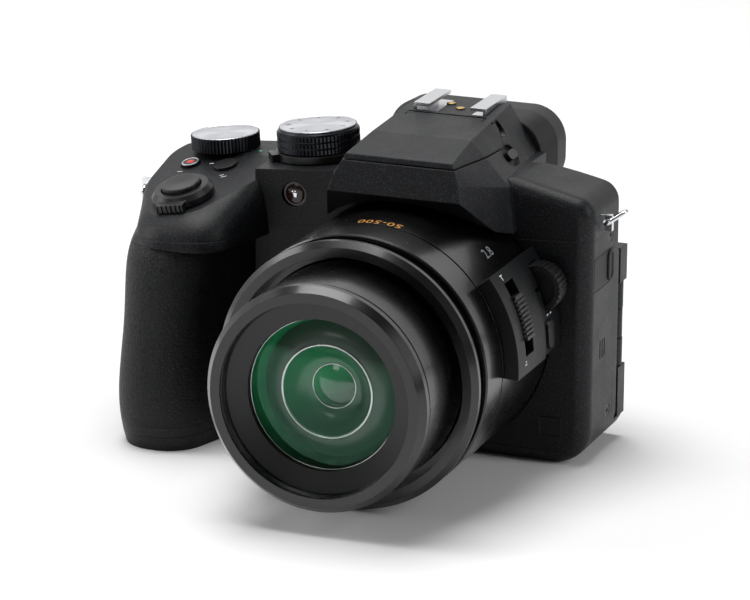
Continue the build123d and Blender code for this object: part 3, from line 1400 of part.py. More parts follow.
def finder_unit():
    """Viewfinder optics inside the hump."""
    half = FINDER_HALF
    return block((-half, half), (FINDER_FRONT, FINDER_EYE), (FINDER_FOOT, FINDER_TOP))


def eyepiece():
    """Eyepiece lens at the back of the viewfinder."""
    y_span = (FINDER_EYE, FINDER_EYE + EYEPIECE_THICKNESS)
    solid = block((-FINDER_HALF, FINDER_HALF), y_span, (FINDER_FOOT, FINDER_TOP))
    return fillet(solid.edges().filter_by(Axis.Y), EYEPIECE_THICKNESS / 2)


def eyecup_section(size, depth, corner):
    """Rounded section of the eyecup at a depth."""
    width, height = size
    middle = EYECUP_TOP - EYECUP_WAIST_SIZE[1] / 2
    return Plane.XZ.offset(-depth) * Pos(0, middle) * RectangleRounded(width, height, corner)


def eyecup():
    """Soft eyecup with its window and bowl."""
    front = BACK_DEPTH + SCREW_FIT
    body = loft([
        eyecup_section(EYECUP_FRONT_SIZE, front, EYECUP_CORNER),
        eyecup_section(EYECUP_WAIST_SIZE, EYECUP_WAIST, EYECUP_CORNER),
        eyecup_section(EYECUP_BACK_SIZE, EYECUP_BACK, EYECUP_CORNER),
    ], ruled=True)
    levels = (FINDER_FOOT - GAP, FINDER_TOP + GAP)
    half = FINDER_HALF + GAP
    window = block((-half, half), (0, EYECUP_BACK), levels)
    floor = BACK_DEPTH + EYECUP_PLATE
    bowl = loft([
        eyecup_section(EYECUP_WINDOW, floor, EYECUP_CORNER / 3),
        eyecup_section(EYECUP_BOWL, EYECUP_BACK + WALL, EYECUP_CORNER / 2),
    ], ruled=True)
    shoe_half = SHOE_WIDTH / 2 + SLIT
    shoe_y = (0, SHOE_FRONT + SHOE_LENGTH + SLIT)
    shoe = block((-shoe_half, shoe_half), shoe_y, (SHOE_FLOOR - SHOE_SHEET, OVERRUN))
    return body - window - bowl - shoe


def diopter_dial():
    """Small knurled dial that sets the eyepiece."""
    disc = toothed_disc(DIOPTER_RADIUS, DIOPTER_TEETH, KNURL_DEPTH, DIOPTER_RISE)
    shaft = Cylinder(DIOPTER_SHAFT, WALL + GAP * 2, align=(HERE, HERE, LOW))
    return DIOPTER_FRAME.offset(SLIT) * disc + DIOPTER_FRAME.offset(-WALL - GAP) * shaft


# Screen


def screen_hinge():
    """Block that carries the screen, with its upright pin and its tilt pin."""
    low, high = HINGE_FOOT + SLIT, HINGE_TOP - SLIT
    inner_x = SWING_X - HINGE_WIDTH
    solid = block((inner_x, SWING_X), (SCREEN_FRONT, BACK_DEPTH), (low, high))
    solid += rod((SWING_X, SWING_Y, low), (0, 0, 1), SCREEN_THICKNESS / 2, high - low)
    notch_x = (SWING_X - SCREEN_HINGE_INSET - GAP, HINGE_REACH + FRONT_DEPTH)
    notch_half = KNUCKLE_HALF + GAP
    notch_z = (HINGE_MIDDLE - notch_half, HINGE_MIDDLE + notch_half)
    solid -= block(notch_x, (SCREEN_FRONT - WALL, BACK_DEPTH + WALL), notch_z)
    solid += rod((SWING_X, SWING_Y, low), (0, 0, 1), HINGE_PIN, high - low)
    return solid + rod((inner_x, SWING_Y, HINGE_MIDDLE), (-1, 0, 0), TILT_PIN, TILT_PIN_LENGTH)


def screen_case():
    """Housing of the screen with the notch for its hinge block."""
    x_span = (SCREEN_INNER, HINGE_REACH)
    solid = block(x_span, (SCREEN_FRONT, BACK_DEPTH), (SCREEN_FOOT, SCREEN_TOP))
    solid = fillet(solid.edges().filter_by(Axis.Y).sort_by(Axis.X)[:2], SCREEN_CORNER)
    inner_x = SWING_X - HINGE_WIDTH
    room_x = (inner_x - GAP, HINGE_REACH + WALL)
    solid -= block(room_x, (SCREEN_FRONT - WALL, BACK_DEPTH + WALL), (HINGE_FOOT, HINGE_TOP))
    bore_length = TILT_PIN_LENGTH + GAP
    solid -= rod((inner_x, SWING_Y, HINGE_MIDDLE), (-1, 0, 0), TILT_PIN + SCREW_FIT, bore_length)
    return solid - screen_pane(SCREW_FIT)


def screen_pane(margin):
    """Room of the screen's glass, grown by a margin at its edge."""
    x_span = (SCREEN_INNER + SCREEN_BORDER - margin, SWING_X - HINGE_WIDTH - SCREEN_BORDER * 2 + margin)
    z_span = (SCREEN_FOOT + SCREEN_BORDER - margin, SCREEN_TOP - SCREEN_BORDER + margin)
    return block(x_span, (BACK_DEPTH - GLASS_SHEET - margin, BACK_DEPTH), z_span)


def screen_glass():
    """Glass and display of the screen."""
    return screen_pane(0)


# Doors


def mic_cover():
    """Rubber cover of the microphone jack."""
    return OUTER & mic_room(0)


def terminal_door():
    """Door over the sockets on the grip's side."""
    return (OUTER - INNER) & terminal_room(0)


def battery_door():
    """Door in the base with the room for its latch."""
    solid = block(DOOR_X, DOOR_Y, (DOOR_SINK, WALL))
    return solid - latch_room(SLIT, LATCH_TRAVEL)


def latch_room(margin, travel):
    """Room for the latch at the free edge of the battery door."""
    middle = sum(BATTERY_X) / 2
    half = LATCH_LENGTH / 2 + margin
    near = DOOR_Y[0] + LATCH_INSET - margin
    y_span = (near, near + LATCH_WIDTH + margin * 2 + travel)
    return block((middle - half, middle + half), y_span, (-WALL, DOOR_SINK + LATCH_DEPTH + margin))


def battery_latch():
    """Slider that frees the battery door."""
    room = latch_room(0, 0)
    return room & block((-OVERRUN, OVERRUN), (-OVERRUN, OVERRUN), (DOOR_SINK, WALL))


# Rear controls


def rear_button(frame, radius):
    """Round push button in the back."""
    return button(frame, radius, WALL + GAP * 2, REAR_RISE, BUTTON_LIP)


def cursor_pad():
    """Four-way pad round the set button."""
    frame = rear_frame(CURSOR_PLACE)
    solid = button(frame, CURSOR_RADIUS, WALL + GAP * 2, CURSOR_RISE, BUTTON_LIP)
    return solid - frame * Cylinder(SET_RADIUS + SLIT, WALL * 8)


def set_button():
    """Button in the middle of the pad."""
    frame = rear_frame(CURSOR_PLACE).offset(-WALL - GAP * 3)
    height = WALL + GAP * 3 + REAR_RISE
    return frame * Cylinder(SET_RADIUS, height, align=(HERE, HERE, LOW))


def focus_mode_lever():
    """Ring round the lock button that picks the focus mode."""
    frame = rear_frame(LOCK_PLACE).offset(SLIT)
    solid = frame * Cylinder(FOCUS_LEVER_RADIUS, REAR_RISE, align=(HERE, HERE, LOW))
    reach = FOCUS_LEVER_RADIUS + FOCUS_LEVER_NUB
    nub = Box(FOCUS_LEVER_NUB * 2, reach, REAR_RISE, align=(HERE, LOW, LOW))
    solid += frame * nub
    return solid - frame * Cylinder(LOCK_RADIUS + SLIT, WALL * 4)


def all_pieces():
    """Every sub-part's name with its solid or group of solids."""
    pieces = {
        "front_cover": front_cover(),
        "rear_cover": rear_cover(),
        "top_cover": top_cover(),
        "base_cover": base_cover(),
        "grip_rubber": grip_rubber(),
        "tripod_bush": tripod_bush(),
        "screws": screws(),
        "strap_lugs": strap_lugs(),
        "strap_ring_hinge_side": strap_ring(1, LUG_Y, LUG_HEIGHT, RING_TILT),
        "strap_ring_grip_side": strap_ring(-1, GRIP_LUG_Y, GRIP_LUG_HEIGHT, RING_HANG),
        "focus_lamp": focus_lamp(),
        "sockets": sockets(),
        "chassis": chassis(),
        "sensor_unit": sensor_unit(),
        "main_board": main_board(),
        "zoom_motor": zoom_motor(),
        "battery": battery(),
        "memory_card": memory_card(),
        "lens_cowl": lens_cowl(),
        "side_pod": side_pod(),
        "side_lever": side_lever(),
        "side_wheel": side_wheel(),
        "focus_button": focus_button(),
        "middle_barrel": middle_barrel(),
        "middle_lens_group": middle_lens_group(),
        "cam_ring": cam_ring(),
        "front_barrel": front_barrel(),
        "front_bezel": front_bezel(),
        "front_lens": front_lens(),
        "shutter_button": shutter_button(),
        "zoom_ring": zoom_ring(),
        "record_button": record_button(),
        "function_button": function_button(),
        "rear_dial": rear_dial(),
        "mode_dial": mode_dial(),
        "power_ring": power_ring(),
        "flash_housing": flash_housing(),
        "flash_lamp": flash_lamp(),
        "flash_switch": flash_switch(),
        "hot_shoe": hot_shoe(),
        "shoe_contacts": shoe_contacts(),
        "finder_unit": finder_unit(),
        "eyepiece": eyepiece(),
        "eyecup": eyecup(),
        "diopter_dial": diopter_dial(),
        "screen_hinge": screen_hinge(),
        "screen_case": screen_case(),
        "screen_glass": screen_glass(),
        "mic_cover": mic_cover(),
        "terminal_door": terminal_door(),
        "battery_door": battery_door(),
        "battery_latch": battery_latch(),
        "cursor_pad": cursor_pad(),
        "set_button": set_button(),
        "focus_mode_lever": focus_mode_lever(),
    }
    for name, frame, radius in REAR_BUTTONS:
        pieces[name] = rear_button(frame, radius)
    return pieces


def write_parts():
    """Writes one STEP file for each sub-part."""
    os.makedirs("parts", exist_ok=True)
    for name, piece in all_pieces().items():
        groups = piece if isinstance(piece, list) else [piece]
        solids = [solid for group in groups for solid in group.solids()]
        export_step(Compound(solids), os.path.join("parts", name + ".step"))


write_parts()
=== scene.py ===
"""Dressed scene of a bridge camera: finishes, small fittings, light and viewpoint.

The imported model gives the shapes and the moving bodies. This file adds finishes to its nodes and the
fine pieces that ride on them. Lengths are in metres, and sizes written in millimetres end in _mm.
"""

from __future__ import annotations

import json
import logging
import math
from dataclasses import dataclass
from enum import Enum
from typing import Sequence

import bmesh
import bpy
from mathutils import Matrix, Vector

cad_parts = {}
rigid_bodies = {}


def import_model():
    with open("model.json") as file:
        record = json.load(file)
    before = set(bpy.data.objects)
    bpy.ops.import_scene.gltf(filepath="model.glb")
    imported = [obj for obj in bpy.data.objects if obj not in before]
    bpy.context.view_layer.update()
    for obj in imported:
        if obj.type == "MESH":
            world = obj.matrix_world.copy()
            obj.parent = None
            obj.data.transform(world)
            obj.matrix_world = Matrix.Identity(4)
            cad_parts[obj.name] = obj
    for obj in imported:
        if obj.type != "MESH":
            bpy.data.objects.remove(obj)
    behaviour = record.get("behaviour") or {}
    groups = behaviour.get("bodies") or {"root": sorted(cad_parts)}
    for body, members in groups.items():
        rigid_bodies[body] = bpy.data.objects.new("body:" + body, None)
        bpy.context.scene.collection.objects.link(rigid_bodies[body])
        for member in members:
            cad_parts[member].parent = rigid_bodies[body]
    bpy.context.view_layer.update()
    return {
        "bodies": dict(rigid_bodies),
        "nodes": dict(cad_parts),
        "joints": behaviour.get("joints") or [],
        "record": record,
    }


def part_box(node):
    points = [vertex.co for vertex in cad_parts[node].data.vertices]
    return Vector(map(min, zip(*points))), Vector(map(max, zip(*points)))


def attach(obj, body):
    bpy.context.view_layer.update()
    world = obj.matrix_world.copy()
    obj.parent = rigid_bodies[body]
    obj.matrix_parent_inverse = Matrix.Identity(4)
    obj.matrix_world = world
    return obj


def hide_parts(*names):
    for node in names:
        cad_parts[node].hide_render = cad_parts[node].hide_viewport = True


LOG = logging.getLogger("bridge_camera")
MM = 0.001
AXIS_HEIGHT_MM = 36.5
CREASE_DEGREES = 35.0
MERGE_MM = 0.005
INK_THICKNESS_MM = 0.03
CAPITAL_SHARE = 1.38
UPWARD = (0, 0, 1)
FORWARD = (0, -1, 0)
BACKWARD = (0, 1, 0)
SIDEWARD = (1, 0, 0)

Point = tuple[float, float]
Profile = tuple[Point, ...]
Tree = bpy.types.NodeTree
Socket = bpy.types.NodeSocket
Node = bpy.types.Node


# Colour and node helpers


def linear(hex_colour: str, alpha: float = 1.0) -> tuple[float, float, float, float]:
    """Turns an sRGB hex colour to linear light.

    Args:
        hex_colour: Six hex digits after a hash sign.
        alpha: Opacity to append.

    Returns:
        Linear red, green, blue and alpha.
    """
    channels = [int(hex_colour[i:i + 2], 16) / 255 for i in (1, 3, 5)]
    values = [c / 12.92 if c <= 0.04045 else ((c + 0.055) / 1.055) ** 2.4 for c in channels]
    return (values[0], values[1], values[2], alpha)


def add_node(tree: Tree, kind: str, settings: dict | None = None, links: dict | None = None) -> Node:
    """Adds one shader node.

    Args:
        tree: Node tree of the material.
        kind: Type name of the node without its first word.
        settings: Input names or attributes with their values.
        links: Input names with the output sockets that feed them.

    Returns:
        The new node.
    """
    node = tree.nodes.new("ShaderNode" + kind)
    for name, value in (settings or {}).items():
        if isinstance(name, int) or name in node.inputs:
            node.inputs[name].default_value = value
        else:
            setattr(node, name, value)
    for name, socket in (links or {}).items():
        tree.links.new(socket, node.inputs[name])
    return node


def per_metre(size_mm: float) -> float:
    """Texture scale whose cells are size_mm across."""
    return 1 / (size_mm * MM)


@dataclass(frozen=True)
class Finish:
    """Common ground of the finishes: a principled shader over rounded edges.

    Attributes:
        name: Material name.
        colour: Main colour as sRGB hex.
        roughness: Mean roughness of the surface.
        edge_mm: Radius that sharp edges are shaded with.
    """

    name: str
    colour: str
    roughness: float
    edge_mm: float = 0.25

    def material(self) -> bpy.types.Material:
        """Returns the finish's material, made on first use."""
        found = bpy.data.materials.get(self.name)
        if found:
            return found
        material = bpy.data.materials.new(self.name)
        material.use_nodes = True
        tree = material.node_tree
        shader = tree.nodes["Principled BSDF"]
        shader.inputs["Base Color"].default_value = linear(self.colour)
        shader.inputs["Roughness"].default_value = self.roughness
        edge = add_node(tree, "Bevel", {"samples": 4, "Radius": self.edge_mm * MM})
        tree.links.new(edge.outputs["Normal"], shader.inputs["Normal"])
        self.dress(tree, shader, edge.outputs["Normal"])
        return material

    def dress(self, tree: Tree, shader: Node, normal: Socket) -> None:
        """Adds the finish's own detail; the plain finish has none.

        Args:
            tree: Node tree of the material.
            shader: Its principled shader.
            normal: Socket with the rounded-edge normal.
        """


def place(tree: Tree) -> Socket:
    """Socket with the point on the object, in metres."""
    return add_node(tree, "TexCoord").outputs["Object"]


def relief(tree: Tree, height: Socket, depth_mm: float, normal: Socket) -> Socket:
    """Adds a bump of a real depth over a normal.

    Args:
        tree: Node tree of the material.
        height: Height from 0 to 1.
        depth_mm: Depth of the relief.
        normal: Normal below it.

    Returns:
        The bumped normal's socket.
    """
    bump = add_node(tree, "Bump", {"Distance": depth_mm * MM}, {"Height": height, "Normal": normal})
    return bump.outputs["Normal"]


def spread(tree: Tree, value: Socket, low: float, high: float) -> Socket:
    """Maps a value from 0..1 to low..high."""
    node = add_node(tree, "MapRange", {"To Min": low, "To Max": high}, {"Value": value})
    return node.outputs["Result"]


def vary_gloss(tree: Tree, shader: Node, value: Socket, low: float, high: float) -> None:
    """Lets the roughness run from low to high with a value."""
    tree.links.new(spread(tree, value, low, high), shader.inputs["Roughness"])


def blend_colours(tree: Tree, value: Socket, low: str, high: str) -> Socket:
    """Colour between two hex colours by a value."""
    node = add_node(tree, "Mix", {"data_type": "RGBA"}, {"Factor": value})
    colour_inputs = [socket for socket in node.inputs if socket.type == "RGBA"]
    colour_inputs[0].default_value = linear(low)
    colour_inputs[1].default_value = linear(high)
    return next(socket for socket in node.outputs if socket.type == "RGBA")


@dataclass(frozen=True)
class MouldedShell(Finish):
    """Polycarbonate moulded against an etched tool: a mottled grain, with painted highlights on its tips."""

    grain_mm: float = 0.5
    depth_mm: float = 0.06
    painted_highlight_colour: str = "#2c2f36"
    specular: float = 0.28

    def dress(self, tree: Tree, shader: Node, normal: Socket) -> None:
        """Adds grain to gloss and relief, and paints highlights on its tips into the colour."""
        point = place(tree)
        fine = add_node(
            tree, "TexNoise",
            {"Scale": per_metre(self.grain_mm), "Detail": 3.0, "Roughness": 0.62}, {"Vector": point},
        )
        broad = add_node(
            tree, "TexNoise", {"Scale": per_metre(self.grain_mm * 14), "Detail": 2.0}, {"Vector": point},
        )
        shader.inputs["Specular IOR Level"].default_value = self.specular
        # Painted highlight: the grain's tips are painted in the paler colour, whatever the light.
        sharp = add_node(
            tree, "MapRange", {"From Min": 0.5, "From Max": 0.72}, {"Value": fine.outputs["Fac"]},
        )
        colour = blend_colours(tree, sharp.outputs["Result"], self.colour, self.painted_highlight_colour)
        tree.links.new(colour, shader.inputs["Base Color"])
        vary_gloss(tree, shader, broad.outputs["Fac"], self.roughness - 0.08, self.roughness + 0.08)
        tree.links.new(relief(tree, fine.outputs["Fac"], self.depth_mm, normal), shader.inputs["Normal"])


@dataclass(frozen=True)
class LeatherRubber(Finish):
    """Moulded rubber with a leather grain: small domed cells between creases, dull and slightly soft, with
    painted shade in the creases and a painted highlight on the domes.
    """

    cell_mm: float = 0.85
    depth_mm: float = 0.09
    painted_highlight_colour: str = "#15171a"
    specular: float = 0.3

    def dress(self, tree: Tree, shader: Node, normal: Socket) -> None:
        """Adds the leather cells and a fine tooth on top of them."""
        shader.inputs["Specular IOR Level"].default_value = self.specular
        point = place(tree)
        warp = add_node(
            tree, "TexNoise", {"Scale": per_metre(self.cell_mm * 2.2), "Detail": 2.0}, {"Vector": point},
        )
        shift = add_node(
            tree, "VectorMath", {"operation": "SCALE", "Scale": self.cell_mm * MM * 1.6},
            {0: warp.outputs["Color"]},
        )
        bent = add_node(tree, "VectorMath", {"operation": "ADD"}, {0: point, 1: shift.outputs["Vector"]})
        cells = add_node(
            tree, "TexVoronoi", {"feature": "DISTANCE_TO_EDGE", "Scale": per_metre(self.cell_mm)},
            {"Vector": bent.outputs["Vector"]},
        )
        domes = add_node(
            tree, "MapRange", {"From Max": 0.28, "interpolation_type": "SMOOTHSTEP"},
            {"Value": cells.outputs["Distance"]},
        )
        # Painted shade and highlight: the creases are painted dark and the domes pale, as light would fall on
        # them.
        colour = blend_colours(tree, domes.outputs["Result"], self.colour, self.painted_highlight_colour)
        tree.links.new(colour, shader.inputs["Base Color"])
        tooth = add_node(
            tree, "TexNoise", {"Scale": per_metre(self.cell_mm / 4), "Detail": 2.0}, {"Vector": point},
        )
        big = relief(tree, domes.outputs["Result"], self.depth_mm, normal)
        tree.links.new(relief(tree, tooth.outputs["Fac"], self.depth_mm / 4, big), shader.inputs["Normal"])
        vary_gloss(tree, shader, domes.outputs["Result"], self.roughness + 0.12, self.roughness)


@dataclass(frozen=True)
class Enamel(Finish):
    """Baked enamel on a turned tube: smooth, deep black, with a broad clear highlight."""

    coat: float = 0.35
    wave_mm: float = 6.0

    def dress(self, tree: Tree, shader: Node, normal: Socket) -> None:
        """Adds a clear coat and slight changes of gloss."""
        point = place(tree)
        cloud = add_node(
            tree, "TexNoise", {"Scale": per_metre(self.wave_mm), "Detail": 4.0}, {"Vector": point},
        )
        vary_gloss(tree, shader, cloud.outputs["Fac"], self.roughness - 0.05, self.roughness + 0.05)
        shader.inputs["Coat Weight"].default_value = self.coat
        shader.inputs["Coat Roughness"].default_value = 0.12
        tooth = add_node(tree, "TexNoise", {"Scale": per_metre(0.3), "Detail": 1.0}, {"Vector": point})
        tree.links.new(relief(tree, tooth.outputs["Fac"], 0.006, normal), shader.inputs["Normal"])


@dataclass(frozen=True)
class SatinPlastic(Finish):
    """Spark-eroded ABS of buttons and levers: a very fine even tooth and a soft sheen."""

    tooth_mm: float = 0.35

    def dress(self, tree: Tree, shader: Node, normal: Socket) -> None:
        """Adds the fine tooth."""
        point = place(tree)
        tooth = add_node(
            tree, "TexNoise", {"Scale": per_metre(self.tooth_mm), "Detail": 2.0}, {"Vector": point},
        )
        tree.links.new(relief(tree, tooth.outputs["Fac"], 0.012, normal), shader.inputs["Normal"])
        vary_gloss(tree, shader, tooth.outputs["Fac"], self.roughness - 0.05, self.roughness + 0.07)


class MetalWork(Enum):
    """How a metal surface was finished."""

    BRUSHED = "brushed"
    POLISHED = "polished"
    SPUN = "spun"


@dataclass(frozen=True)
class WorkedMetal(Finish):
    """Bare or dyed metal, with the lines that its tool left."""

    work: MetalWork = MetalWork.POLISHED
    line_mm: float = 0.12
    anisotropy: float = 0.0

    def dress(self, tree: Tree, shader: Node, normal: Socket) -> None:
        """Makes the shader metallic and adds the tool lines."""
        shader.inputs["Metallic"].default_value = 1.0
        point = place(tree)
        if self.work is MetalWork.POLISHED:
            haze = add_node(tree, "TexNoise", {"Scale": per_metre(2.0), "Detail": 3.0}, {"Vector": point})
            vary_gloss(tree, shader, haze.outputs["Fac"], self.roughness, self.roughness + 0.1)
            return
        if self.work is MetalWork.BRUSHED:
            stretched = add_node(
                tree, "Mapping",
                {"Scale": (per_metre(self.line_mm), per_metre(self.line_mm * 60), per_metre(self.line_mm))},
                {"Vector": point},
            )
            lines = add_node(
                tree, "TexNoise", {"Scale": 1.0, "Detail": 2.0}, {"Vector": stretched.outputs["Vector"]},
            )
            height = lines.outputs["Fac"]
        else:
            shader.inputs["Anisotropic"].default_value = self.anisotropy
            tangent = add_node(tree, "Tangent", {"direction_type": "RADIAL", "axis": "Z"})
            tree.links.new(tangent.outputs["Tangent"], shader.inputs["Tangent"])
            flat = add_node(tree, "VectorMath", {"operation": "MULTIPLY", 1: (1, 1, 0)}, {0: point})
            reach = add_node(tree, "VectorMath", {"operation": "LENGTH"}, {0: flat.outputs["Vector"]})
            turns = add_node(
                tree, "Math", {"operation": "MULTIPLY", 1: per_metre(self.line_mm * 2)},
                {0: reach.outputs["Value"]},
            )
            lines = add_node(tree, "Math", {"operation": "PINGPONG", 1: 1.0}, {0: turns.outputs["Value"]})
            height = lines.outputs["Value"]
        tree.links.new(relief(tree, height, self.line_mm / 12, normal), shader.inputs["Normal"])


@dataclass(frozen=True)
class ClearGlass(Finish):
    """Ground and polished glass under thin coatings, which tint what it reflects."""

    tint: str = "#ffffff"
    index: float = 1.6

    def dress(self, tree: Tree, shader: Node, normal: Socket) -> None:
        """Makes the shader transmit, with a coloured reflection."""
        shader.inputs["Transmission Weight"].default_value = 1.0
        shader.inputs["IOR"].default_value = self.index
        shader.inputs["Specular Tint"].default_value = linear(self.tint)


@dataclass(frozen=True)
class FilmOnGlass(Finish):
    """Thin coating on the outermost glass: almost clear, it mirrors a little tinted light."""

    share: float = 0.05

    def dress(self, tree: Tree, shader: Node, normal: Socket) -> None:
        """Makes the film metallic and mostly clear, a little denser where the glass turns away."""
        shader.inputs["Metallic"].default_value = 1.0
        facing = add_node(tree, "LayerWeight", {"Blend": 0.35})
        share = spread(tree, facing.outputs["Facing"], self.share, self.share * 3)
        tree.links.new(share, shader.inputs["Alpha"])


@dataclass(frozen=True)
class CoatingWithPaintedLight(Finish):
    """Coated inner lens face with painted light: its green is painted strong on the side that mirrors the lit
    side, and painted shade darkens it where it sinks into the dark tube.

    Attributes:
        painted_shade_colour: Colour of the painted shade on the dark side.
        reach_mm: Radius over which one side passes into the other.
        turn: Direction of the side painted as lit, in degrees about the lens axis.
        coat: Weight of the clear reflection on top.
    """

    painted_shade_colour: str = "#06130c"
    reach_mm: float = 18.0
    turn: float = 135.0
    coat: float = 0.5

    def dress(self, tree: Tree, shader: Node, normal: Socket) -> None:
        """Paints light and shade into the colour across the face and lays a clear coat over it."""
        turn = math.radians(self.turn)
        point = place(tree)
        towards = (math.cos(turn), math.sin(turn), 0)
        side = add_node(tree, "VectorMath", {"operation": "DOT_PRODUCT", 1: towards}, {0: point})
        reach = self.reach_mm * MM
        grade = add_node(
            tree, "MapRange",
            {"From Min": -reach, "From Max": reach, "interpolation_type": "SMOOTHSTEP"},
            {"Value": side.outputs["Value"]},
        )
        # Painted reflection and shade: the colour runs from the dark side to the lit side across the face,
        # fixed in the material.
        colour = blend_colours(tree, grade.outputs["Result"], self.painted_shade_colour, self.colour)
        tree.links.new(colour, shader.inputs["Base Color"])
        haze = add_node(tree, "TexNoise", {"Scale": per_metre(5.0), "Detail": 2.0}, {"Vector": point})
        vary_gloss(tree, shader, haze.outputs["Fac"], self.roughness, self.roughness + 0.08)
        shader.inputs["Coat Weight"].default_value = self.coat
        shader.inputs["Coat Roughness"].default_value = 0.05


@dataclass(frozen=True)
class Print(Finish):
    """Screen-printed or filled mark: flat ink with a slight sheen."""

    def dress(self, tree: Tree, shader: Node, normal: Socket) -> None:
        """Breaks the ink's gloss up a little."""
        point = place(tree)
        tooth = add_node(tree, "TexNoise", {"Scale": per_metre(0.4)}, {"Vector": point})
        vary_gloss(tree, shader, tooth.outputs["Fac"], self.roughness - 0.1, self.roughness + 0.1)


SHELL = MouldedShell("etched_polycarbonate", "#050608", 0.46, edge_mm=0.5)
GRIP = LeatherRubber("leather_grained_rubber", "#040506", 0.42, edge_mm=0.8)
SOFT = SatinPlastic("soft_eyecup_rubber", "#070708", 0.58, edge_mm=0.8)
BARREL = Enamel("baked_enamel", "#030304", 0.26, edge_mm=0.25)
BEZEL = SatinPlastic("satin_bezel", "#050608", 0.4, edge_mm=0.2)
CONTROL = SatinPlastic("eroded_abs", "#08090a", 0.38, edge_mm=0.25)
POD = MouldedShell(
    "etched_abs", "#08090b", 0.42, edge_mm=0.3, grain_mm=0.45, depth_mm=0.03, painted_highlight_colour="#1c1e22",
)
DIAL = WorkedMetal("black_anodised_aluminium", "#37383c", 0.28, edge_mm=0.12)
DIAL_TOP = WorkedMetal(
    "spun_aluminium", "#c6c8cc", 0.3, edge_mm=0.05, work=MetalWork.SPUN, line_mm=0.16, anisotropy=0.75,
)
STEEL = WorkedMetal("pressed_steel", "#c9cacd", 0.25, edge_mm=0.2, work=MetalWork.BRUSHED)
BRASS = WorkedMetal("gilded_brass", "#c7a25a", 0.22, edge_mm=0.1)
CHROME = WorkedMetal("polished_chrome", "#dcdde0", 0.08, edge_mm=0.1)
SCREW = WorkedMetal("blackened_steel", "#2b2b2e", 0.35, edge_mm=0.1)
INNER = SatinPlastic("plain_inner_abs", "#141414", 0.6)
BOARD = SatinPlastic("lacquered_board", "#0f3a20", 0.4)
FRAME_METAL = WorkedMetal("plain_aluminium", "#8c8d90", 0.4, work=MetalWork.BRUSHED)
GLASS = ClearGlass("coated_front_glass", "#ffffff", 0.0, edge_mm=0.02, tint="#5fc79a")
FILM = FilmOnGlass("green_anti_reflection_film", "#8fd8b4", 0.04, edge_mm=0.02)
# Lens faces with a painted reflection on their lit side and painted shade on their dark side.
CELL_WALL = CoatingWithPaintedLight(
    "coated_lens_edge", "#1a7d4b", 0.3, edge_mm=0.05, painted_shade_colour="#0a1a11", reach_mm=20.0, coat=0.2,
)
CELL_FACE = CoatingWithPaintedLight(
    "coated_second_lens", "#3d4b42", 0.3, edge_mm=0.05, painted_shade_colour="#131b16", reach_mm=26.0, turn=60.0,
    coat=0.2,
)
CELL_BOWL = CoatingWithPaintedLight(
    "coated_third_lens", "#0d6f40", 0.3, edge_mm=0.05, painted_shade_colour="#020604", reach_mm=11.0, turn=125.0,
)
CELL_EYE = CoatingWithPaintedLight(
    "coated_inner_lens", "#0c8a4e", 0.08, edge_mm=0.05, painted_shade_colour="#02140b", reach_mm=6.0, turn=120.0,
    coat=1.0,
)
RETAINER = WorkedMetal("turned_retaining_ring", "#c4c8c6", 0.2, edge_mm=0.05)
PANE = SatinPlastic("screen_cover_glass", "#070809", 0.06, edge_mm=0.1)
DISPLAY = SatinPlastic("unlit_display", "#15171c", 0.12, edge_mm=0.02, tooth_mm=1.2)
LAMP = SatinPlastic("smoked_window", "#2a1512", 0.1, edge_mm=0.1)
GREEN_LAMP = SatinPlastic("green_light_guide", "#2a8f68", 0.15, edge_mm=0.05)
DIFFUSER = SatinPlastic("ribbed_diffuser", "#b9bbbf", 0.2, edge_mm=0.1)
WHITE_INK = Print("white_ink", "#cfd0d2", 0.5, edge_mm=0.01)
GREY_INK = Print("grey_ink", "#85888e", 0.5, edge_mm=0.01)
BLACK_INK = Print("black_ink", "#101012", 0.5, edge_mm=0.01)
GOLD_INK = Print("amber_ink", "#c08a3c", 0.5, edge_mm=0.01)
RED_INK = Print("red_ink", "#d0281f", 0.4, edge_mm=0.05)

NODE_FINISHES: dict[Finish, tuple[str, ...]] = {
    SHELL: (
        "front_cover", "rear_cover", "top_cover", "base_cover", "flash_housing", "terminal_door",
        "battery_door", "screen_case", "screen_hinge",
    ),
    GRIP: ("grip_rubber",),
    SOFT: ("eyecup", "mic_cover"),
    BARREL: ("lens_cowl", "middle_barrel", "front_barrel"),
    BEZEL: ("front_bezel",),
    POD: ("side_pod",),
    CONTROL: (
        "side_lever", "side_wheel", "focus_button", "shutter_button", "zoom_ring", "record_button",
        "function_button", "power_ring", "flash_switch", "diopter_dial", "cursor_pad", "set_button",
        "focus_mode_lever", "playback_button", "menu_button", "display_button", "finder_button",
        "lock_button", "battery_latch",
    ),
    DIAL: ("rear_dial", "mode_dial"),
    STEEL: ("hot_shoe", "tripod_bush", "zoom_motor"),
    CHROME: ("strap_lugs", "strap_ring_hinge_side", "strap_ring_grip_side"),
    SCREW: ("screws",),
    FRAME_METAL: ("chassis", "cam_ring"),
    BOARD: ("main_board",),
    INNER: (
        "sensor_unit", "battery", "memory_card", "sockets", "shoe_contacts", "finder_unit",
        "middle_lens_group",
    ),
    GLASS: ("front_lens",),
    PANE: ("eyepiece", "screen_glass"),
    LAMP: ("focus_lamp",),
    DIFFUSER: ("flash_lamp",),
}


def dress_nodes(nodes: dict[str, bpy.types.Object]) -> None:
    """Gives every carried-over node its finish.

    Args:
        nodes: CAD nodes by name.
    """
    for finish, names in NODE_FINISHES.items():
        for name in names:
            mesh = nodes[name].data
            mesh.materials.clear()
            mesh.materials.append(finish.material())


# Frames and mesh makers


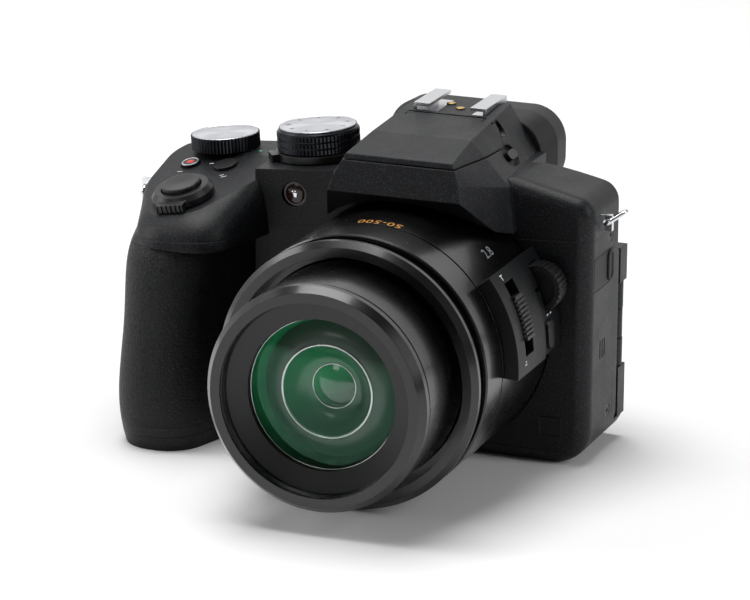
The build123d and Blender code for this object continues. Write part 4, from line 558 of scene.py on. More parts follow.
def frame_at(origin_mm: Sequence[float], normal: Sequence[float], up: Sequence[float] = UPWARD) -> Matrix:
    """Local frame of a fitting.

    Args:
        origin_mm: Its origin in the object's millimetres.
        normal: Direction of its z.
        up: Direction that its y comes nearest to.

    Returns:
        The frame as a matrix in metres.
    """
    z = Vector(normal).normalized()
    x = Vector(up).cross(z).normalized()
    frame = Matrix((x, z.cross(x), z)).transposed().to_4x4()
    frame.translation = Vector(origin_mm) * MM
    return frame


LENS_FRAME = frame_at((0, 0, AXIS_HEIGHT_MM), FORWARD)
DECK_RISE = (0.16, 0.22)
DECK_START = (-63.5, 70.4)
DECK_NORMAL = (-DECK_RISE[0], -DECK_RISE[1], 1.0)
PLATEAU_RISE = 0.075
PLATEAU_START = (-36.7, 74.4)
PLATEAU_NORMAL = (-PLATEAU_RISE, 0.0, 1.0)


def deck_point(x: float, y: float) -> tuple[float, float, float]:
    """Point on the sloping deck over a place, in millimetres."""
    return (x, y, DECK_START[1] + DECK_RISE[0] * (x - DECK_START[0]) + DECK_RISE[1] * y)


def plateau_point(x: float, y: float) -> tuple[float, float, float]:
    """Point on the plateau beside the hump over a place, in millimetres."""
    return (x, y, PLATEAU_START[1] + PLATEAU_RISE * (x - PLATEAU_START[0]))


def top_of(node: bpy.types.Object, origin_mm: Sequence[float], normal: Sequence[float]) -> Vector:
    """Where an axis through a node leaves it.

    Args:
        node: CAD node.
        origin_mm: Point on the axis.
        normal: Direction of the axis.

    Returns:
        Point on the axis level with the node's furthest corner, in millimetres.
    """
    axis = Vector(normal).normalized()
    reach = max((node.matrix_world @ corner.co).dot(axis) for corner in node.data.vertices) / MM
    start = Vector(origin_mm)
    return start + axis * (reach - start.dot(axis))


def mesh_from(shape: bmesh.types.BMesh, name: str) -> bpy.types.Mesh:
    """Turns a built shape to a smooth mesh with sharp edges above an angle.

    Args:
        shape: Shape, which is freed.
        name: Mesh name.

    Returns:
        The mesh.
    """
    bmesh.ops.recalc_face_normals(shape, faces=shape.faces)
    mesh = bpy.data.meshes.new(name)
    shape.to_mesh(mesh)
    shape.free()
    mesh.polygons.foreach_set("use_smooth", [True] * len(mesh.polygons))
    mesh.set_sharp_from_angle(angle=math.radians(CREASE_DEGREES))
    return mesh


def turned(name: str, profile_mm: Sequence[Point], closed: bool = True, steps: int = 128) -> bpy.types.Mesh:
    """Mesh turned about the frame's z from a profile of radii and heights.

    Args:
        name: Mesh name.
        profile_mm: Radius and height of each point.
        closed: Whether the last point joins the first.
        steps: Facets round the axis.

    Returns:
        The mesh.
    """
    shape = bmesh.new()
    points = [shape.verts.new((radius * MM, 0, height * MM)) for radius, height in profile_mm]
    edges = [shape.edges.new(pair) for pair in zip(points, points[1:])]
    if closed:
        edges.append(shape.edges.new((points[-1], points[0])))
    axis = {"cent": (0, 0, 0), "axis": UPWARD, "angle": math.tau}
    bmesh.ops.spin(shape, geom=points + edges, steps=steps, use_merge=True, **axis)
    bmesh.ops.remove_doubles(shape, verts=shape.verts, dist=MERGE_MM * MM)
    return mesh_from(shape, name)


def arc(centre: Point, radius: float, start: float, end: float, steps: int = 6) -> list[Point]:
    """Points along an arc, with its angles in degrees."""
    turns = [math.radians(start + (end - start) * step / steps) for step in range(steps + 1)]
    return [(centre[0] + radius * math.cos(turn), centre[1] + radius * math.sin(turn)) for turn in turns]


def oblong(width: float, height: float, corner: float) -> list[Point]:
    """Outline of a rectangle with rounded corners, in millimetres."""
    across, along = width / 2 - corner, height / 2 - corner
    points = arc((across, along), corner, 0, 90)
    points += arc((-across, along), corner, 90, 180)
    points += arc((-across, -along), corner, 180, 270)
    return points + arc((across, -along), corner, 270, 360)


def plate(
    name: str, outline_mm: Sequence[Point], thickness: float, edge: float = 0.0, dish: Point = (0.0, 0.0),
) -> bpy.types.Mesh:
    """Plate on the frame's plane, with a bevelled or dished upper face.

    Args:
        name: Mesh name.
        outline_mm: Its outline.
        thickness: Its height above the plane.
        edge: Width of the bevel along its upper edge.
        dish: Width of the rim that stays, and depth of the face inside it.

    Returns:
        The mesh.
    """
    shape = bmesh.new()
    corners = [shape.verts.new((x * MM, y * MM, 0)) for x, y in outline_mm]
    lower = shape.faces.new(corners)
    raised = bmesh.ops.extrude_face_region(shape, geom=[lower])["geom"]
    upper = next(item for item in raised if isinstance(item, bmesh.types.BMFace))
    bmesh.ops.translate(shape, verts=upper.verts, vec=(0, 0, (thickness - edge) * MM))
    if edge:
        bmesh.ops.inset_region(shape, faces=[upper], thickness=edge * MM)
        bmesh.ops.translate(shape, verts=upper.verts, vec=(0, 0, edge * MM))
    if dish[1]:
        bmesh.ops.inset_region(shape, faces=[upper], thickness=dish[0] * MM)
        bmesh.ops.inset_region(shape, faces=[upper], thickness=dish[1] * MM)
        bmesh.ops.translate(shape, verts=upper.verts, vec=(0, 0, -dish[1] * MM))
    return mesh_from(shape, name)


def lettering(name: str, words: str, height: float, lift: float = 0.02) -> bpy.types.Mesh:
    """Flat figures on the frame's plane, centred on its origin.

    Args:
        name: Mesh name.
        words: Figures to set.
        height: Height of a figure in millimetres.
        lift: Height of the ink above the plane.

    Returns:
        The mesh.
    """
    curve = bpy.data.curves.new(name, "FONT")
    curve.body = words
    curve.size = height * MM * CAPITAL_SHARE
    curve.space_character = 1.08
    curve.align_x = "CENTER"
    curve.align_y = "CENTER"
    curve.resolution_u = 4
    holder = bpy.data.objects.new(name, curve)
    mesh = bpy.data.meshes.new_from_object(holder)
    bpy.data.objects.remove(holder)
    bpy.data.curves.remove(curve)
    mesh.transform(Matrix.Translation((0, 0, lift * MM)))
    return mesh


def shown(name: str, data: bpy.types.ID) -> bpy.types.Object:
    """New object in the scene around a mesh, a camera or a light."""
    made = bpy.data.objects.new(name, data)
    bpy.context.scene.collection.objects.link(made)
    return made


class Reading(Enum):
    """Which way figures on the lens read."""

    ROUND = "round"
    BACKWARD = "backward"


def wrap(mesh: bpy.types.Mesh, radius: float, angle: float, depth: float, reading: Reading) -> bpy.types.Mesh:
    """Bends flat figures round the lens.

    Args:
        mesh: Flat mesh, whose z is kept as its height above the tube.
        radius: Radius of the tube in millimetres.
        angle: Angle of its middle about the lens axis, in degrees.
        depth: Distance of its middle in front of the origin, in millimetres.
        reading: Which way it reads.

    Returns:
        The same mesh in the lens frame.
    """
    for corner in mesh.vertices:
        along, up, lift = corner.co
        if reading is Reading.ROUND:
            turn, forward = math.radians(angle) + along / (radius * MM), depth * MM + up
        else:
            turn, forward = math.radians(angle) + up / (radius * MM), depth * MM - along
        reach = radius * MM + lift
        corner.co = (reach * math.cos(turn), reach * math.sin(turn), forward)
    return mesh


@dataclass
class Fittings:
    """Base of the sub-assemblies: gives pieces their finish and the body that they ride on."""

    body: str = "camera_body"

    def fit(
        self, name: str, mesh: bpy.types.Mesh, at: Matrix, slot: str, finish: Finish,
        replaced: Sequence[str] = (),
    ) -> bpy.types.Object:
        """Adds a piece.

        Args:
            name: Its name.
            mesh: Its mesh.
            at: Its frame.
            slot: Material slot of the record; not used.
            finish: Its finish.
            replaced: CAD nodes that it stands for.

        Returns:
            The piece.
        """
        piece = shown(name, mesh)
        mesh.materials.clear()
        mesh.materials.append(finish.material())
        piece.matrix_world = at
        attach(piece, self.body)
        if replaced:
            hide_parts(*replaced)
        LOG.info("%s rides on %s: %d faces", name, self.body, len(mesh.polygons))
        return piece

    def build(self) -> None:
        """Builds the sub-assembly's pieces."""


# Lens


POD_RADIUS = 40.2
POD_BACK_RADIUS = 39.4
CORNER_SHARE = 0.4


@dataclass
class FrontElements(Fittings):
    """Coated lenses that show through the front glass, with their retaining rings.

    Attributes:
        glass_radius: Clear radius of the front glass.
        glass_edge: Distance of its edge in front of the origin.
        glass_rise: Height of its dome.
        wall_foot: Radius and depth where the edge wall of the first lens ends.
        ring: Radius and depth of the bright ring.
        eye: Radius and depth of the innermost lens.
        wall_bend: How far the bend in the edge wall lies outside and before its foot.
        ring_seat: Gap beside the bright ring and how far the faces start behind it.
        face_rise: Bulge of the second lens.
        bowl_rise: Bulge of the third lens.
        eye_rise: Height of the innermost dome.
        eye_inset: Gap round that dome.
        eye_ring_gap: How far its ring lies outside it.
        edge_ring_gap: How far the glass's ring lies inside its edge.
        wires: Radii of the sections of the bright, innermost and outermost rings.
    """

    body: str = "front_barrel"
    glass_radius: float = 20.2
    glass_edge: float = 81.3
    glass_rise: float = 2.9
    wall_foot: Point = (18.4, 75.4)
    ring: Point = (12.4, 78.9)
    eye: Point = (5.8, 73.6)
    wall_bend: Point = (0.5, 1.2)
    ring_seat: Point = (0.4, 0.3)
    face_rise: float = 0.8
    bowl_rise: float = -1.2
    eye_rise: float = 1.4
    eye_inset: float = 0.1
    eye_ring_gap: float = 0.15
    edge_ring_gap: float = 0.12
    wires: tuple[float, float, float] = (0.42, 0.2, 0.14)

    def build(self) -> None:
        """Builds the glass, the stepped faces and the rings."""
        foot, foot_depth = self.wall_foot
        ring, ring_depth = self.ring
        eye, eye_depth = self.eye
        gap, drop = self.ring_seat
        bend = (foot + self.wall_bend[0], foot_depth + self.wall_bend[1])
        wall = [(self.glass_radius, self.glass_edge), bend, self.wall_foot]
        face = self.bulged(self.wall_foot, (ring + gap, ring_depth - drop), self.face_rise)
        bowl = self.bulged((ring - gap, ring_depth - drop), (eye + gap, eye_depth), self.bowl_rise)
        dome = self.dome(eye - self.eye_inset, eye_depth - self.eye_inset, self.eye_rise)
        faces = {
            "first_lens_edge": (wall, CELL_WALL), "second_lens_face": (face, CELL_FACE),
            "third_lens_face": (bowl, CELL_BOWL), "inner_lens_face": (dome, CELL_EYE),
        }
        for name, (profile, finish) in faces.items():
            self.fit(name, turned(name, profile, closed=False), LENS_FRAME, "coated_glass", finish)
        self.band("second_lens_ring", ring, ring_depth - drop, self.wires[0])
        self.band("inner_lens_ring", eye + self.eye_ring_gap, eye_depth, self.wires[1])
        self.band("first_lens_ring", self.glass_radius - self.edge_ring_gap, self.glass_edge, self.wires[2])
        glass = self.dome(self.glass_radius, self.glass_edge, self.glass_rise)
        front = turned("front_glass", glass, closed=False)
        self.fit("front_glass", front, LENS_FRAME, "coated_glass", FILM, replaced=["front_lens"])

    def bulged(self, start: Point, end: Point, rise: float, steps: int = 12) -> list[Point]:
        """Profile from start to end that bulges by rise in its middle."""
        run, climb = end[0] - start[0], end[1] - start[1]
        shares = [step / steps for step in range(steps + 1)]
        return [
            (start[0] + run * share, start[1] + climb * share + rise * math.sin(math.pi * share))
            for share in shares
        ]

    def dome(self, radius: float, edge: float, rise: float, steps: int = 16) -> list[Point]:
        """Profile of a dome from its middle to its edge."""
        curve = (radius ** 2 + rise ** 2) / (2 * rise)
        radii = [radius * step / steps for step in range(steps + 1)]
        return [(reach, edge + rise - curve + math.sqrt(curve ** 2 - reach ** 2)) for reach in radii]

    def band(self, name: str, radius: float, depth: float, wire: float) -> None:
        """Adds a bright round ring."""
        profile = arc((radius, depth), wire, 0, 330, 11)
        self.fit(name, turned(name, profile), LENS_FRAME, "steel", RETAINER)


@dataclass
class FilterThread(Fittings):
    """Fine ridges of the filter thread inside the front rim."""

    body: str = "front_barrel"
    radius: float = 25.98
    depths: Point = (85.0, 87.6)
    pitch: float = 0.65
    height: float = 0.22
    root_height: float = 0.03
    crest_share: float = 0.4

    def build(self) -> None:
        """Builds the ridged ring."""
        low, high = self.depths
        turns = int((high - low) / self.pitch)
        profile = [(self.radius, low)]
        for turn in range(turns):
            start = low + turn * self.pitch
            profile.append((self.radius - self.height, start + self.pitch * self.crest_share))
            profile.append((self.radius - self.root_height, start + self.pitch))
        profile.append((self.radius, high))
        mesh = turned("filter_thread_ridges", profile)
        self.fit("filter_thread_ridges", mesh, LENS_FRAME, "barrel", BARREL)


@dataclass
class BarrelFigures(Fittings):
    """Printed figures on the fixed lens tube."""

    radius: float = 36.2
    figure_height: float = 3.0
    range_place: Point = (88.5, 44.3)
    aperture_place: Point = (46.5, 28.0)

    def build(self) -> None:
        """Sets the amber range and the grey aperture."""
        span = lettering("range_figures", "50-500", self.figure_height)
        wrap(span, self.radius, *self.range_place, Reading.ROUND)
        self.fit("range_figures", span, LENS_FRAME, "barrel", GOLD_INK)
        aperture = lettering("aperture_figures", "2.8", self.figure_height)
        wrap(aperture, self.radius, *self.aperture_place, Reading.BACKWARD)
        self.fit("aperture_figures", aperture, LENS_FRAME, "barrel", GREY_INK)


@dataclass(frozen=True)
class TubeDash:
    """Short printed dash round the lens.

    Attributes:
        name: Its name.
        radius: Radius of the surface under it.
        angle: Its angle about the lens axis, in degrees.
        depth: Its distance in front of the origin.
        across: Its length along the lens axis.
        along: Its length round the lens.
    """

    name: str
    radius: float
    angle: float
    depth: float
    across: float
    along: float


@dataclass
class PodMarks(Fittings):
    """White marks on the pod, at the ends of the zoom slot and by the wheel."""

    dashes: tuple[TubeDash, ...] = (
        TubeDash("tele_mark", POD_RADIUS, 36.2, 39.0, 1.5, 0.35),
        TubeDash("tele_stem", POD_RADIUS, 35.2, 39.0, 0.35, 1.5),
        TubeDash("wide_mark", POD_RADIUS, 0.9, 39.6, 1.5, 0.35),
        TubeDash("wide_mark_upper", POD_RADIUS, 2.0, 39.6, 0.8, 0.35),
        TubeDash("wheel_mark_front", POD_BACK_RADIUS, 12.0, 18.6, 1.2, 0.35),
        TubeDash("wheel_mark_back", POD_BACK_RADIUS, 12.0, 16.2, 1.2, 0.35),
    )

    def build(self) -> None:
        """Adds the marks."""
        for dash in self.dashes:
            corner = min(dash.along, dash.across) * CORNER_SHARE
            bar = plate(dash.name, oblong(dash.along, dash.across, corner), INK_THICKNESS_MM)
            mesh = wrap(bar, dash.radius, dash.angle, dash.depth, Reading.ROUND)
            self.fit(dash.name, mesh, LENS_FRAME, "control_black", WHITE_INK)


@dataclass
class LeverLine(Fittings):
    """White line across the end of the side lever."""

    body: str = "side_lever"
    radius: float = 40.15
    angle: float = 26.0
    depth: float = 36.5
    size: Point = (0.4, 4.6)
    corner: float = 0.15
    thickness: float = 0.04

    def build(self) -> None:
        """Adds the line."""
        line = plate("lever_line", oblong(*self.size, self.corner), self.thickness)
        mesh = wrap(line, self.radius, self.angle, self.depth, Reading.ROUND)
        self.fit("lever_line", mesh, LENS_FRAME, "control_black", WHITE_INK)


# Top


@dataclass
class DialTop(Fittings):
    """Spun top plate of a dial, with figures where it has them.

    Attributes:
        node: CAD node of the dial.
        centre: Place of its axis, in millimetres.
        radius: Radius of the plate.
        figures: Figures set round the plate.
        figure_reach: Radius of the ring of figures.
        figure_height: Height of a figure, and of the ink above the plate.
        face: Share of the radius and height of the points on the face.
        rim: Inset from the edge and height of the points on the grooved rim.
        steps: Facets round the plate.
    """

    node: str = "mode_dial"
    centre: tuple[float, float, float] = (0.0, 0.0, 0.0)
    radius: float = 9.6
    figures: tuple[str, ...] = ()
    figure_reach: float = 8.0
    figure_height: Point = (1.5, 0.17)
    face: Profile = ((0.0, 0.1), (0.55, 0.08))
    rim: Profile = ((0.9, 0.14), (0.75, 0.05), (0.55, 0.05), (0.4, 0.17), (0.15, 0.16), (0.0, 0.0))
    steps: int = 160

    def build(self) -> None:
        """Builds the plate, its rim groove and its figures."""
        node = bpy.data.objects[self.node]
        top = top_of(node, self.centre, PLATEAU_NORMAL)
        at = frame_at(top, PLATEAU_NORMAL, BACKWARD)
        profile = [(self.radius * share, height) for share, height in self.face]
        profile += [(self.radius - inset, height) for inset, height in self.rim]
        name = self.node + "_plate"
        mesh = turned(name, profile + [(0.0, 0.0)], steps=self.steps)
        self.fit(name, mesh, at, "dial_metal", DIAL_TOP)
        for index, figure in enumerate(self.figures):
            turn = math.tau * index / len(self.figures)
            name = "%s_figure_%d" % (self.node, index)
            mark = lettering(name, figure, *self.figure_height)
            outward = Matrix.Translation((0, -self.figure_reach * MM, 0))
            mark.transform(Matrix.Rotation(turn, 4, "Z") @ outward)
            self.fit(name, mark, at, "dial_metal", BLACK_INK)


@dataclass
class ReleaseDish(Fittings):
    """Shallow dish on top of the release button."""

    body: str = "shutter_button"
    place_mm: Point = (-66.3, -18.8)
    radius: float = 5.35
    section: Profile = (
        (0.0, 0.03), (0.4, 0.06), (0.7, 0.17), (
            0.86, 0.32,
        ), (0.93, 0.34), (0.98, 0.26), (1.0, 0.0), (0.0, 0.0),
    )

    def build(self) -> None:
        """Builds the dish over the button's flat top."""
        node = bpy.data.objects["shutter_button"]
        top = top_of(node, deck_point(*self.place_mm), DECK_NORMAL)
        profile = [(self.radius * share, height) for share, height in self.section]
        at = frame_at(top, DECK_NORMAL, BACKWARD)
        self.fit("release_dish", turned("release_dish", profile), at, "control_black", CONTROL)


@dataclass
class RecordDot(Fittings):
    """Red dot on the record button, inside a fine raised ring."""

    body: str = "record_button"
    place_mm: Point = (-73.4, 2.1)
    dot: Profile = ((0.0, 0.12), (0.8, 0.09), (1.05, 0.0), (0.0, 0.0))
    ring: Profile = ((2.0, 0.0), (2.1, 0.08), (2.35, 0.08), (2.45, 0.0))
    dot_steps: int = 48
    ring_steps: int = 64

    def build(self) -> None:
        """Adds the dot and the ring."""
        top = top_of(bpy.data.objects["record_button"], deck_point(*self.place_mm), DECK_NORMAL)
        at = frame_at(top, DECK_NORMAL, BACKWARD)
        dot = turned("record_dot", self.dot, steps=self.dot_steps)
        self.fit("record_dot", dot, at, "control_black", RED_INK)
        ring = turned("record_ring", self.ring, steps=self.ring_steps)
        self.fit("record_ring", ring, at, "control_black", DIAL_TOP)


@dataclass(frozen=True)
class DeckDash:
    """Short printed dash on the deck.

    Attributes:
        name: Its name.
        spot: Its place on the deck.
        length: Its length.
        width: Its width.
        turn: Its turn about the deck's normal, in degrees.
    """

    name: str
    spot: Point
    length: float
    width: float
    turn: float = 0.0


@dataclass
class DeckMarks(Fittings):
    """Printed marks on the deck and the plateau, and the small green lamp."""

    dashes: tuple[DeckDash, ...] = (
        DeckDash("zoom_mark_outer", (-59.6, -7.2), 1.7, 0.35, 20.0),
        DeckDash("zoom_mark_inner", (-60.6, -6.2), 1.2, 0.35, 20.0),
        DeckDash("function_mark_one", (-66.9, 1.6), 1.4, 0.35),
        DeckDash("function_mark_two", (-64.9, 1.6), 0.8, 0.35),
        DeckDash("record_mark", (-74.8, -2.4), 1.6, 0.3),
    )
    lamp: Profile = ((0.0, 0.28), (0.35, 0.24), (0.6, 0.1), (0.65, 0.0), (0.0, 0.0))
    lamp_place: Point = (-55.6, 9.4)
    lamp_steps: int = 32
    power_place: Point = (-51.6, 9.6)
    power_height: float = 1.5

    def build(self) -> None:
        """Adds marks and lamp."""
        for dash in self.dashes:
            bar = plate(
                dash.name, oblong(dash.length, dash.width, dash.width * CORNER_SHARE), INK_THICKNESS_MM,
            )
            turn = Matrix.Rotation(math.radians(dash.turn), 4, "Z")
            at = frame_at(deck_point(*dash.spot), DECK_NORMAL, BACKWARD) @ turn
            self.fit(dash.name, bar, at, "shell", WHITE_INK)
        lamp = turned("ready_lamp", self.lamp, steps=self.lamp_steps)
        lamp_frame = frame_at(plateau_point(*self.lamp_place), PLATEAU_NORMAL, BACKWARD)
        self.fit("ready_lamp", lamp, lamp_frame, "lamp_window", GREEN_LAMP)
        word = lettering("power_mark", "ON", self.power_height)
        word_frame = frame_at(plateau_point(*self.power_place), PLATEAU_NORMAL, BACKWARD)
        self.fit("power_mark", word, word_frame, "shell", WHITE_INK)


@dataclass
class ShoeContacts(Fittings):
    """Gilded pads on the contacts of the accessory shoe."""

    height: float = 88.95
    places: Profile = ((0.0, 17.5), (-4.2, 21.7), (4.2, 21.7))
    pad: Profile = ((0.0, 0.14), (0.8, 0.12), (1.15, 0.03), (1.2, 0.0), (0.0, 0.0))
    steps: int = 32

    def build(self) -> None:
        """Adds the pads."""
        for index, (x, y) in enumerate(self.places):
            name = "shoe_pad_%d" % index
            pad = turned(name, self.pad, steps=self.steps)
            self.fit(name, pad, frame_at((x, y, self.height), UPWARD, BACKWARD), "steel", BRASS)


# Front, side and back


@dataclass
class FocusLampLens(Fittings):
    """Domed window of the focus lamp with its inner reflector."""

    across: float = -37.6
    height: float = 67.4
    dome: Profile = ((0.0, 0.4), (1.0, 0.36), (2.0, 0.24), (2.7, 0.08), (2.8, 0.0), (0.0, 0.0))
    eye: Profile = ((0.0, 0.55), (0.5, 0.52), (1.0, 0.4), (1.1, 0.3), (0.0, 0.3))
    dome_steps: int = 64
    eye_steps: int = 48

    def build(self) -> None:
        """Adds the dome and its bright middle."""
        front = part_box("focus_lamp")[0][1] / MM
        at = frame_at((self.across, front, self.height), FORWARD)
        self.fit("lamp_dome", turned("lamp_dome", self.dome, steps=self.dome_steps), at, "lamp_window", LAMP)
        self.fit("lamp_eye", turned("lamp_eye", self.eye, steps=self.eye_steps), at, "steel", CHROME)


@dataclass
class DishedPlate(Fittings):
    """Small plate with a rounded outline, a bevelled edge and a sunk face.

    Attributes:
        name: Its name.
        centre: Middle of its foot.
        facing: Direction that it faces.
        size: Its width and height.
        corner: Radius of its corners.
        thickness: Its thickness.
        edge: Width of its bevel.
        dish: Width of the rim, and depth of the face inside it.
        slot: Material slot of the record.
        finish: Its finish.
    """

    name: str = "front_plate"
    centre: tuple[float, float, float] = (36.8, -10.0, 10.6)
    facing: tuple[float, float, float] = FORWARD
    size: Point = (6.4, 5.6)
    corner: float = 0.5
    thickness: float = 0.3
    edge: float = 0.08
    dish: Point = (0.25, 0.1)
    slot: str = "control_black"
    finish: Finish = POD

    def build(self) -> None:
        """Adds the plate."""
        outline = oblong(*self.size, self.corner)
        mesh = plate(self.name, outline, self.thickness, edge=self.edge, dish=self.dish)
        self.fit(self.name, mesh, frame_at(self.centre, self.facing), self.slot, self.finish)


@dataclass
class DisplayPanel(Fittings):
    """Active area of the closed screen, seen behind its cover glass as a slightly paler field."""

    body: str = "screen"
    margin: float = 2.6
    corner: float = 0.4
    thickness: float = 0.02

    def build(self) -> None:
        """Adds the field just over the glass."""
        low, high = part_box("screen_glass")
        width = (high[0] - low[0]) / MM - self.margin * 2
        height = (high[2] - low[2]) / MM - self.margin * 2
        centre = ((low[0] + high[0]) / 2 / MM, high[1] / MM, (low[2] + high[2]) / 2 / MM)
        mesh = plate("display_field", oblong(width, height, self.corner), self.thickness)
        self.fit("display_field", mesh, frame_at(centre, BACKWARD), "screen_glass", DISPLAY)


@dataclass
class BackMarks(Fittings):
    """Plain pictograms by the back controls: arrows, a frame, lines and a triangle."""

    back: float = 21.5
    cursor: Point = (-46.5, 28.0)
    arrow_reach: float = 6.8
    arrow_size: float = 0.8
    corner_turns: tuple[float, ...] = (0, 125, 235)
    thickness: float = 0.02

    def triangle(self, size: float, turn: float) -> list[Point]:
        """Outline of a triangle that points along an angle in degrees."""
        corners = [math.radians(turn + step) for step in self.corner_turns]
        return [(size * math.cos(corner), size * math.sin(corner)) for corner in corners]

    def build(self) -> None:
        """Adds the pictograms."""
        pad_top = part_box("cursor_pad")[1][1] / MM
        for index in range(4):
            turn = 90.0 * index
            aside = self.arrow_reach * math.cos(math.radians(turn))
            above = self.arrow_reach * math.sin(math.radians(turn))
            at = frame_at((self.cursor[0] - aside, pad_top, self.cursor[1] + above), BACKWARD)
            name = "cursor_arrow_%d" % index
            mesh = plate(name, self.triangle(self.arrow_size, turn), self.thickness)
            Fittings("cursor_pad").fit(name, mesh, at, "control_black", WHITE_INK)
        marks = {
            "playback_mark": ((-53.0, 49.2), self.triangle(0.9, 0)),
            "menu_mark": ((-39.5, 16.0), oblong(2.2, 0.4, 0.15)),
            "menu_mark_low": ((-39.5, 15.2), oblong(2.2, 0.4, 0.15)),
            "display_mark": ((-55.0, 16.8), oblong(2.0, 1.4, 0.2)),
        }
        for name, (spot, outline) in marks.items():
            at = frame_at((spot[0], self.back, spot[1]), BACKWARD)
            self.fit(name, plate(name, outline, self.thickness), at, "shell", WHITE_INK)


def sub_assemblies() -> list[Fittings]:
    """Sub-assemblies in the order that they are built in."""
    dial_figures = tuple("123456789")
    front_plate = DishedPlate()
    thumb_tab = DishedPlate(
        "mic_cover", "thumb_tab", (47.3, 6.6, 52.8), SIDEWARD, (4.2, 8.8), 2.0, 0.55, 0.2, (0.4, 0.3),
        "soft_rubber", SOFT,
    )
    return [
        FrontElements(), FilterThread(), BarrelFigures(), PodMarks(), LeverLine(),
        DialTop("mode_dial", "mode_dial", plateau_point(-36.7, 6.3), 10.5, dial_figures, 8.3),
        DialTop("rear_dial", "rear_dial", plateau_point(-67.3, 12.6), 9.2),
        ReleaseDish(), RecordDot(), DeckMarks(), ShoeContacts(), FocusLampLens(), front_plate, thumb_tab,
        DisplayPanel(), BackMarks(),
    ]


# Viewpoint and light


@dataclass
class Viewpoint:
    """Camera at the photograph's angle."""

    azimuth: float = 21.35
    elevation: float = 16.7
    roll: float = 0.4
    distance_mm: float = 1180.0
    target_mm: tuple[float, float, float] = (-9.94, -20.0, 43.55)
    lens: float = 211.15
    sensor: float = 36.0
    sight_m: float = 50.0

    def build(self) -> None:
        """Makes the camera and looks through it."""
        turn, lift, roll = (math.radians(angle) for angle in (self.azimuth, self.elevation, self.roll))
        level = math.cos(lift)
        back = Vector((math.sin(turn) * level, -math.cos(turn) * level, math.sin(lift)))
        right = Vector((math.cos(turn), math.sin(turn), 0))
        up = back.cross(right)
        across = right * math.cos(roll) + up * math.sin(roll)
        upward = up * math.cos(roll) - right * math.sin(roll)
        data = bpy.data.cameras.new("viewpoint")
        data.lens = self.lens
        data.sensor_width = self.sensor
        data.clip_end = self.sight_m
        camera = shown("viewpoint", data)
        pose = Matrix((across, upward, back)).transposed().to_4x4()
        pose.translation = Vector(self.target_mm) * MM + back * self.distance_mm * MM
        camera.matrix_world = pose
        bpy.context.scene.camera = camera


@dataclass(frozen=True)
class Softbox:
    """Soft lamp that faces the object, with its power in watts."""

    name: str
    place_m: tuple[float, float, float]
    width_m: float
    height_m: float
    power: float


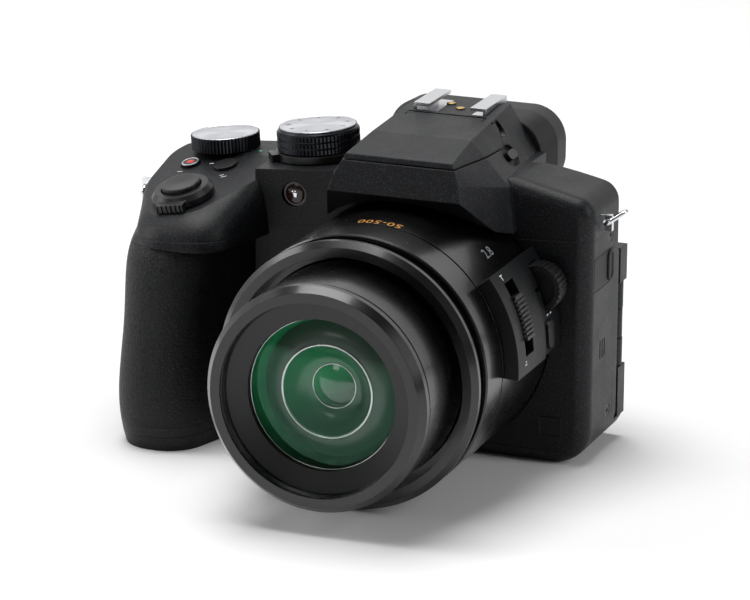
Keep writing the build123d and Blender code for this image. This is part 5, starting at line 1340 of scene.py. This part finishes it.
@dataclass
class Studio:
    """Pale floor, dim room and soft lamps."""

    softboxes: tuple[Softbox, ...] = (
        Softbox("top_softbox", (-0.25, 0.1, 1.6), 1.1, 1.1, 25.0),
        Softbox("left_softbox", (-1.5, -0.35, 0.75), 0.7, 1.1, 11.0),
        Softbox("right_softbox", (1.5, 0.0, 0.8), 0.6, 1.1, 10.0),
        Softbox("front_softbox", (-0.5, -1.6, 1.0), 0.5, 0.5, 1.5),
    )
    aim_m: tuple[float, float, float] = (0.0, -0.02, 0.04)
    floor_reach: float = 6.0
    floor_colour: str = "#f6f6f6"
    fill: float = 0.1

    def build(self) -> None:
        """Makes the room."""
        self.make_world()
        self.make_floor()
        for softbox in self.softboxes:
            self.add_lamp(softbox)
        bpy.context.scene.view_settings.view_transform = "Standard"

    def make_world(self) -> None:
        """Dim room with a white backdrop behind the object, and white wherever the view looks past it."""
        world = bpy.data.worlds.new("pale_room")
        bpy.context.scene.world = world
        world.use_nodes = True
        tree = world.node_tree
        rays = add_node(tree, "LightPath")
        towards = add_node(tree, "TexCoord")
        behind = add_node(
            tree, "VectorMath", {"operation": "DOT_PRODUCT", 1: (-0.3, 0.95, 0.0)},
            {0: towards.outputs["Generated"]},
        )
        backdrop = add_node(
            tree, "MapRange", {"From Min": 0.2, "From Max": 0.8}, {"Value": behind.outputs["Value"]},
        )
        mirrored = add_node(
            tree, "Math", {"operation": "MAXIMUM"},
            {0: rays.outputs["Is Glossy Ray"], 1: rays.outputs["Is Transmission Ray"]},
        )
        seen = add_node(
            tree, "Math", {"operation": "MULTIPLY"},
            {0: mirrored.outputs["Value"], 1: backdrop.outputs["Result"]},
        )
        white = add_node(
            tree, "Math", {"operation": "MAXIMUM"},
            {0: seen.outputs["Value"], 1: rays.outputs["Is Camera Ray"]},
        )
        strength = add_node(
            tree, "MapRange", {"To Min": self.fill, "To Max": 1.0}, {"Value": white.outputs["Value"]},
        )
        surface = tree.nodes["Background"]
        surface.inputs["Color"].default_value = (1, 1, 1, 1)
        tree.links.new(strength.outputs["Result"], surface.inputs["Strength"])

    def make_floor(self) -> None:
        """Plain pale floor under the base."""
        mesh = bpy.data.meshes.new("floor")
        grid = bmesh.new()
        bmesh.ops.create_grid(grid, x_segments=8, y_segments=8, size=self.floor_reach)
        grid.to_mesh(mesh)
        grid.free()
        floor = shown("floor", mesh)
        material = bpy.data.materials.new("pale_paper")
        material.use_nodes = True
        shader = material.node_tree.nodes["Principled BSDF"]
        shader.inputs["Base Color"].default_value = linear(self.floor_colour)
        shader.inputs["Roughness"].default_value = 0.9
        mesh.materials.append(material)

    def add_lamp(self, softbox: Softbox) -> None:
        """Adds a soft lamp and turns it to the object.

        Args:
            softbox: The lamp's place, size and power.
        """
        data = bpy.data.lights.new(softbox.name, "AREA")
        data.shape = "RECTANGLE"
        data.size = softbox.width_m
        data.size_y = softbox.height_m
        data.energy = softbox.power
        lamp = shown(softbox.name, data)
        lamp.location = softbox.place_m
        aim = Vector(self.aim_m) - Vector(softbox.place_m)
        lamp.rotation_euler = aim.to_track_quat("-Z", "Y").to_euler()


def main() -> None:
    """Builds the dressed camera."""
    logging.basicConfig(level=logging.INFO, format="%(message)s")
    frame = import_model()
    dress_nodes(frame["nodes"])
    for group in sub_assemblies():
        group.build()
    Viewpoint().build()
    Studio().build()


if __name__ == "__main__":
    main()
